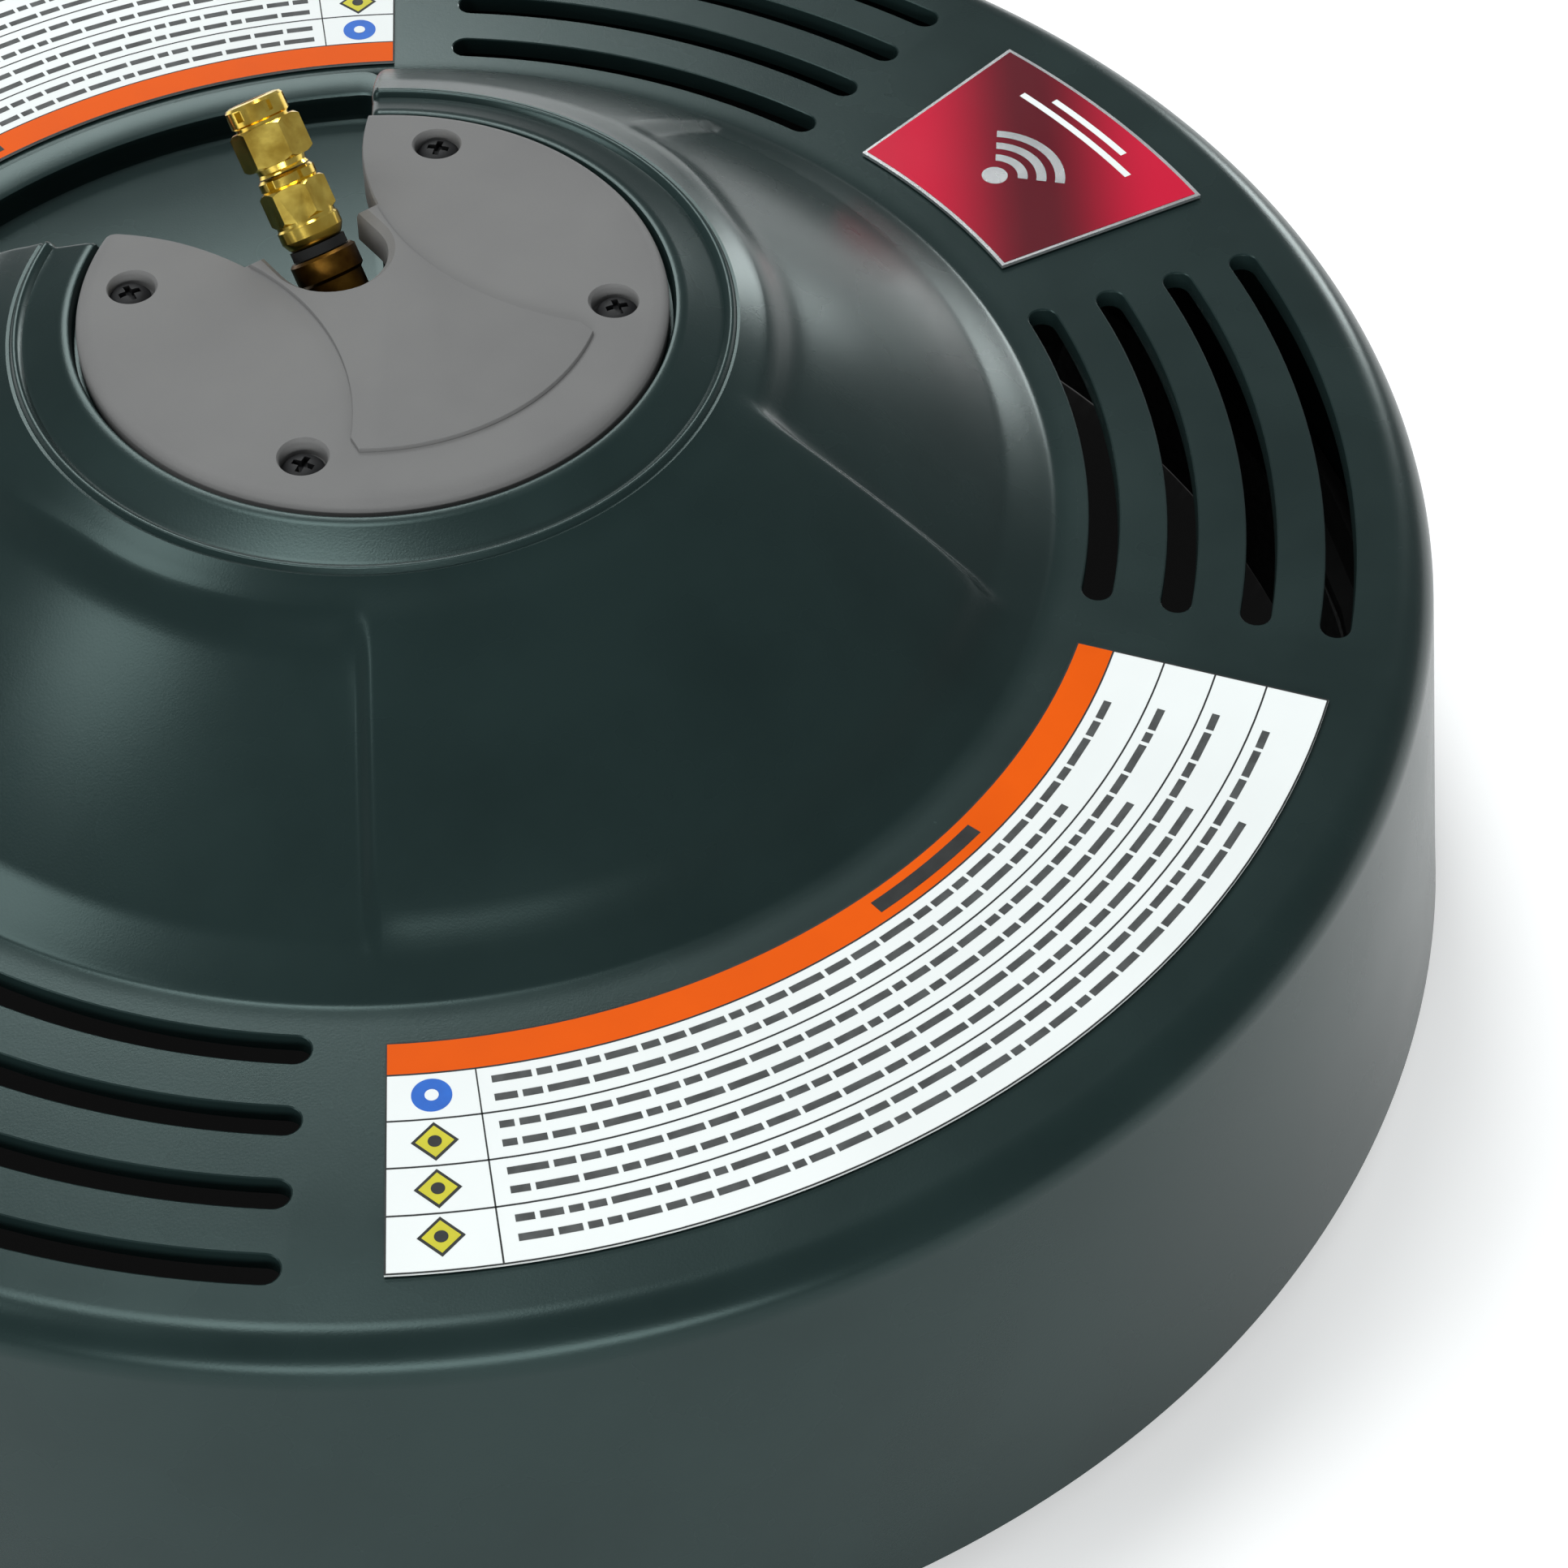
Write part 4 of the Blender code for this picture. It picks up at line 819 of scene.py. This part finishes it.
def notchCutters(radius, high, low):
    cutters = []
    half = fitting["notch"] / 2
    for k in range(fitting["notches"]):
        cutter = boxBody((radius - 0.9 * mm, -half, low), (radius + 2 * mm, half, high))
        turn = Matrix.Rotation((k + 0.5) * 2 * pi / fitting["notches"], 3, "Z")
        bmesh.ops.rotate(cutter, cent=(0, 0, 0), matrix=turn, verts=cutter.verts)
        cutters.append(cutter)
    return cutters


def makePlug():
    f = fitting
    tip, neck = f["tip"], f["neck"]
    profile = [(f["bore"], 0), (tip - 1.1 * mm, 0), (tip - 0.4 * mm, -0.2 * mm), (tip, -0.7 * mm),
               (tip, -f["tipEnd"] + 0.9 * mm), (tip - 0.5 * mm, -f["tipEnd"] + 0.6 * mm),
               (tip - 0.5 * mm, -f["tipEnd"] - 0.2 * mm), (neck, -f["hexEnd"] + 0.3 * mm),
               (neck - 0.3 * mm, -f["neckEnd"] + 0.6 * mm), (neck, -f["neckEnd"]), (f["bore"], -f["neckEnd"])]
    body = spun(profile, f["steps"], closed=True)
    body = carved(body, "DIFFERENCE", *notchCutters(tip, -0.9 * mm, -2.7 * mm))
    body = carved(body, "UNION", boredNut(f["hex"], -f["tipEnd"], -f["hexEnd"]))
    addPiece("inletPlug", toMesh("inletPlug", alongInlet(body)), ["brass"], stands=["inlet_plug"],
             smooth=28)


def makeAdapter():
    f = fitting
    collar, barrel = f["collar"], f["round"]
    start = -f["neckEnd"] - 0.25 * mm
    profile = [(f["bore"], start), (collar - 0.5 * mm, start), (collar, start - 0.5 * mm),
               (collar, -f["collarEnd"] + 0.5 * mm), (collar - 0.4 * mm, -f["collarEnd"] - 0.2 * mm),
               (barrel - 0.3 * mm, -f["hexTwoEnd"] + 0.2 * mm),
               (barrel - 0.3 * mm, -f["hexTwoEnd"] - 0.5 * mm),
               (barrel, -f["hexTwoEnd"] - 0.9 * mm), (barrel, -f["roundEnd"] + 1.6 * mm),
               (barrel - 0.7 * mm, -f["roundEnd"] + 0.3 * mm), (barrel - 1.0 * mm, -f["roundEnd"]),
               (f["bore"], -f["roundEnd"])]
    body = spun(profile, f["steps"], closed=True)
    body = carved(body, "DIFFERENCE", *notchCutters(collar, start - 0.4 * mm, start - 1.9 * mm))
    body = carved(body, "UNION", boredNut(f["hexTwo"], -f["collarEnd"], -f["hexTwoEnd"]))
    addPiece("inletAdapter", toMesh("inletAdapter", alongInlet(body)), ["brass"],
             stands=["inlet_adapter"],
             smooth=28)


def makeElbow():
    f = fitting
    branch, start, knee = f["branch"], -f["branchStart"], -f["knee"]
    body = alongInlet(spun([(f["bore"], start), (branch - 0.5 * mm, start), (branch, start - 0.5 * mm),
                            (branch, start - 4 * mm), (branch - 0.6 * mm, start - 4.6 * mm),
                            (branch - 0.6 * mm, knee), (f["bore"], knee)], f["steps"], closed=True))
    ball = bmesh.new()
    bmesh.ops.create_uvsphere(ball, u_segments=48, v_segments=24, radius=f["kneeBall"])
    centre = inletTip - inletAxis * f["knee"]
    bmesh.ops.translate(ball, vec=centre, verts=ball.verts)
    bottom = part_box("inlet_elbow")[0].z
    leg = spun([(0, centre.z), (f["leg"], centre.z), (f["leg"], bottom + 0.4 * mm),
                (f["leg"] - 0.4 * mm, bottom),
                (0, bottom)], f["steps"])
    body = carved(body, "UNION", ball, leg)
    # the elbow's finish carries painted shade, dark as the cover's slot it runs down into
    addPiece("inletElbow", toMesh("inletElbow", body), ["brassInPaintedShade"], stands=["inlet_elbow"])


def makeWasher():
    f = fitting
    high, low = -f["roundEnd"] - 0.2 * mm, -f["branchStart"] + 0.2 * mm
    body = spun([(f["bore"], high), (f["washer"], high), (f["washer"], low), (f["bore"], low)], f["steps"],
                closed=True)
    addPiece("inletWasher", toMesh("inletWasher", alongInlet(body)), ["rubber"],
             stands=["inlet_washer"])


makePlug()
makeAdapter()
makeElbow()
makeWasher()

print("labels")

label = {"half": 34.5, "depth": 44 * mm, "ink": 0.04 * mm, "orange": 6.3 * mm, "row": 8.95 * mm, "rows": 4,
         "rule": 0.3 * mm, "icons": 6.0, "iconSize": (3.2 * mm, 3.7 * mm, 3.0 * mm, 1.1 * mm),
         "lineHeight": 1.35 * mm, "lines": (2.7 * mm, 6.3 * mm), "wordGap": 0.8 * mm, "seed": 7}


def sector(body, inner, outer, low, high, start, end, index=0, centre=(0, 0), step=1.5):
    # closed slab between two arcs; angles in degrees
    before = set(body.faces)
    a = radians(start)
    verts = [body.verts.new((centre[0] + r * cos(a), centre[1] + r * sin(a), z))
             for r, z in ((inner, low), (outer, low), (outer, high), (inner, high))]
    face = body.faces.new(verts)
    bmesh.ops.spin(body, geom=verts + list(face.edges) + [face], axis=(0, 0, 1), cent=(*centre, 0),
                   angle=radians(end - start), steps=max(1, round(abs(end - start) / step)))
    for made in body.faces:
        if made not in before:
            made.material_index = index


def disc(body, place, radius, low, high, segments, index, turn=0.0):
    matrix = Matrix.Translation((*place, (high + low) / 2)) @ Matrix.Rotation(turn, 4, "Z")
    made = bmesh.ops.create_cone(body, cap_ends=True, segments=segments, radius1=radius, radius2=radius,
                                 depth=high - low, matrix=matrix)
    for vert in made["verts"]:
        for face in vert.link_faces:
            face.material_index = index


def drawLine(body, chance, middle, r, low, high, start, end):
    # a row of plain bars of different lengths stands for a line of print
    place = start
    while True:
        length = degrees(chance.uniform(2.0, 7.0) * mm / r)
        if place + length > end:
            return
        sector(body, r - label["lineHeight"] / 2, r + label["lineHeight"] / 2, low, high, middle + place,
               middle + place + length, index=3, step=3)
        place += length + degrees(label["wordGap"] / r)


def makeLabel(name, node, middle):
    low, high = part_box(node)[0].z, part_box(node)[1].z
    outer = max(abs(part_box(node)[0].y), abs(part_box(node)[1].y))
    inner = outer - label["depth"]
    half = label["half"]
    body = bmesh.new()
    sector(body, inner, outer, low, high, middle - half, middle + half)
    top = high + label["ink"]
    edge = degrees(label["rule"] / outer)
    sector(body, inner + label["rule"], inner + label["orange"], high, top, middle - half + edge,
           middle + half - edge, index=1)
    for k in range(label["rows"]):
        r = inner + label["orange"] + k * label["row"]
        sector(body, r, r + label["rule"], high, top, middle - half + edge, middle + half - edge, index=2)
    rule = middle - half + label["icons"]
    sector(body, inner + label["orange"] + label["rule"], outer - label["rule"], high, top, rule,
           rule + degrees(label["rule"] / outer), index=2)
    for start, end in ((middle - half, middle - half + edge), (middle + half - edge, middle + half)):
        sector(body, inner + label["rule"], outer - label["rule"], high, top, start, end, index=2)
    for r in (inner, outer - label["rule"]):
        sector(body, r, r + label["rule"], high, top, middle - half, middle + half, index=2)
    sector(body, inner + 2.0 * mm, inner + 4.6 * mm, top, top + label["ink"], middle + 3.0, middle + 13.5,
           index=2)

    ring, border, diamond, dot = label["iconSize"]
    chance = random.Random(label["seed"] + round(middle))
    for k in range(label["rows"]):
        base = inner + label["orange"] + k * label["row"]
        for number, lift in enumerate(label["lines"]):
            end = half - 1.5 - (chance.uniform(0, 2) if number == 0 else chance.uniform(4, 17))
            drawLine(body, chance, middle, base + lift, high, top, -half + label["icons"] + 1.0, end)
        r, a = base + label["row"] / 2, radians(middle - half + label["icons"] / 2)
        spot = (r * cos(a), r * sin(a))
        if k == 0:
            disc(body, spot, ring, high, top, 40, 4)
        else:
            disc(body, spot, border, high, top, 4, 2, a)
            disc(body, spot, diamond, top, top + label["ink"], 4, 5, a)
        disc(body, spot, dot, top + label["ink"] * (k > 0), top + 2 * label["ink"], 24, 0 if k == 0 else 2)
    addPiece(name, toMesh(name, body), ["labelFilm", "orangeInk", "darkInk", "greyInk", "blueInk",
                                        "yellowInk"],
             stands=[node])


makeLabel("labelFront", "label_front", -90)
makeLabel("labelRear", "label_rear", 90)

print("nameplates")

plate = {"half": 9.6, "inner": 126 * mm, "outer": 170 * mm, "frame": 0.8 * mm, "raise": 0.12 * mm,
         "print": 0.05 * mm, "spray": 140 * mm, "arcs": (5.4 * mm, 9.0 * mm, 12.6 * mm), "arcWidth": 1.9 * mm,
         "arcReach": 48, "dot": 2.5 * mm, "bars": ((161.0 * mm, 5.6), (164.2 * mm, 3.6)),
         "barWidth": 1.4 * mm}


def makeNameplate(name, node, middle):
    low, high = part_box(node)[0].z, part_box(node)[1].z
    inner, outer, half, rim = plate["inner"], plate["outer"], plate["half"], plate["frame"]
    body = bmesh.new()
    sector(body, inner, outer, low, high - plate["raise"], middle - half, middle + half, index=1)
    inset = degrees(rim / outer)
    sector(body, inner + rim, outer - rim, high - plate["raise"], high, middle - half + inset,
           middle + half - inset)
    top = high + plate["print"]
    a = radians(middle)
    spot = (plate["spray"] * cos(a), plate["spray"] * sin(a))
    wide = plate["arcWidth"] / 2
    for r in plate["arcs"]:
        sector(body, r - wide, r + wide, high, top, middle - plate["arcReach"], middle + plate["arcReach"],
               index=1,
               centre=spot, step=6)
    disc(body, spot, plate["dot"], high, top, 32, 1)
    wide = plate["barWidth"] / 2
    for r, reach in plate["bars"]:
        sector(body, r - wide, r + wide, high, top, middle - reach, middle + reach, index=2)
    addPiece(name, toMesh(name, body), ["plateRed", "plateSilver", "labelFilm"], stands=[node])


makeNameplate("nameplateRight", "nameplate_right", 0)
makeNameplate("nameplateLeft", "nameplate_left", 180)

print("brush skirt")

brush = {"rows": 3, "count": 300, "tip": 0.55 * mm, "root": 0.85 * mm, "lean": 0.05, "seed": 3,
         "strip": 6 * mm,
         "curtain": 0.6 * mm, "depth": 5.0 * mm}


def makeBrush():
    low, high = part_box("bristle_skirt")
    outer, inner = high.x, high.x - brush["depth"]
    length = high.z - low.z
    chance = random.Random(brush["seed"])
    body = bmesh.new()
    for row in range(brush["rows"]):
        r = inner + (row + 0.5) * (outer - inner) / brush["rows"]
        for k in range(brush["count"]):
            a = 2 * pi * (k + row / brush["rows"]) / brush["count"]
            lean = Matrix.Rotation(chance.uniform(-1, 1) * brush["lean"], 4, "X")
            place = Matrix.Rotation(a, 4, "Z") @ Matrix.Translation((r, 0, low.z + length)) @ lean
            place = place @ Matrix.Translation((0, 0, -length / 2))
            bmesh.ops.create_cone(body, cap_ends=True, segments=6, radius1=brush["tip"],
                                  radius2=brush["root"],
                                  depth=length, matrix=place)
    curtain = inner - brush["curtain"]
    strip = spun([(outer, high.z), (outer, high.z - brush["strip"]), (inner, high.z - brush["strip"]),
                  (inner, low.z + 1 * mm), (curtain, low.z + 1 * mm), (curtain, high.z)], 180, closed=True)
    stripMesh = toMesh("strip", strip)
    body.from_mesh(stripMesh)
    addPiece("brushSkirt", toMesh("brushSkirt", body), ["bristle"], stands=["bristle_skirt"])


makeBrush()

print("working parts under the shroud")

plainNodes = ["swivel_housing", "bearing_lower", "bearing_upper", "bearing_spacer", "pressure_seal",
              "circlip",
              "mounting_plate", "swivel_shaft", "rotor_hub", "hub_nut", "spray_arm_1", "spray_arm_2",
              "nozzle_holder_1", "nozzle_holder_2", "nozzle_tip_1", "nozzle_tip_2", "skirt_retainer",
              "inlet_filter"] + [f"plate_{kind}_{k}" for kind in ("bolt", "nut") for k in range(1, 5)]
plainNodes += [f"skirt_screw_{k}" for k in range(1, 9)]


def refined(node, bevel=0.25 * mm):
    # the CAD shape with its flats joined, its edges eased and its round faces smooth
    body = bmesh.new()
    body.from_mesh(frame["nodes"][node].data)
    bmesh.ops.remove_doubles(body, verts=body.verts, dist=sameSpot)
    bmesh.ops.dissolve_limit(body, angle_limit=radians(1), verts=body.verts, edges=body.edges)
    sharp = [edge for edge in body.edges if edge.is_manifold and edge.calc_face_angle(0) > radians(38)]
    bmesh.ops.bevel(body, geom=sharp, offset=bevel, offset_type="OFFSET", segments=2, profile=0.5,
                    affect="EDGES", clamp_overlap=True, material=-1)
    words = node.split("_")
    name = words[0] + "".join(word.capitalize() for word in words[1:])
    slotName = nodeSlot[node]
    addPiece(name, toMesh(name, body), [slotLook[slotName]], nodeBody[node], [node])


for plainNode in plainNodes:
    refined(plainNode)


def dressNodes():
    # nodes that keep their CAD shape get the finish of their slot
    for node, obj in frame["nodes"].items():
        for slot in obj.material_slots:
            slot.material = look[slotLook[nodeSlot[node]]]


dressNodes()
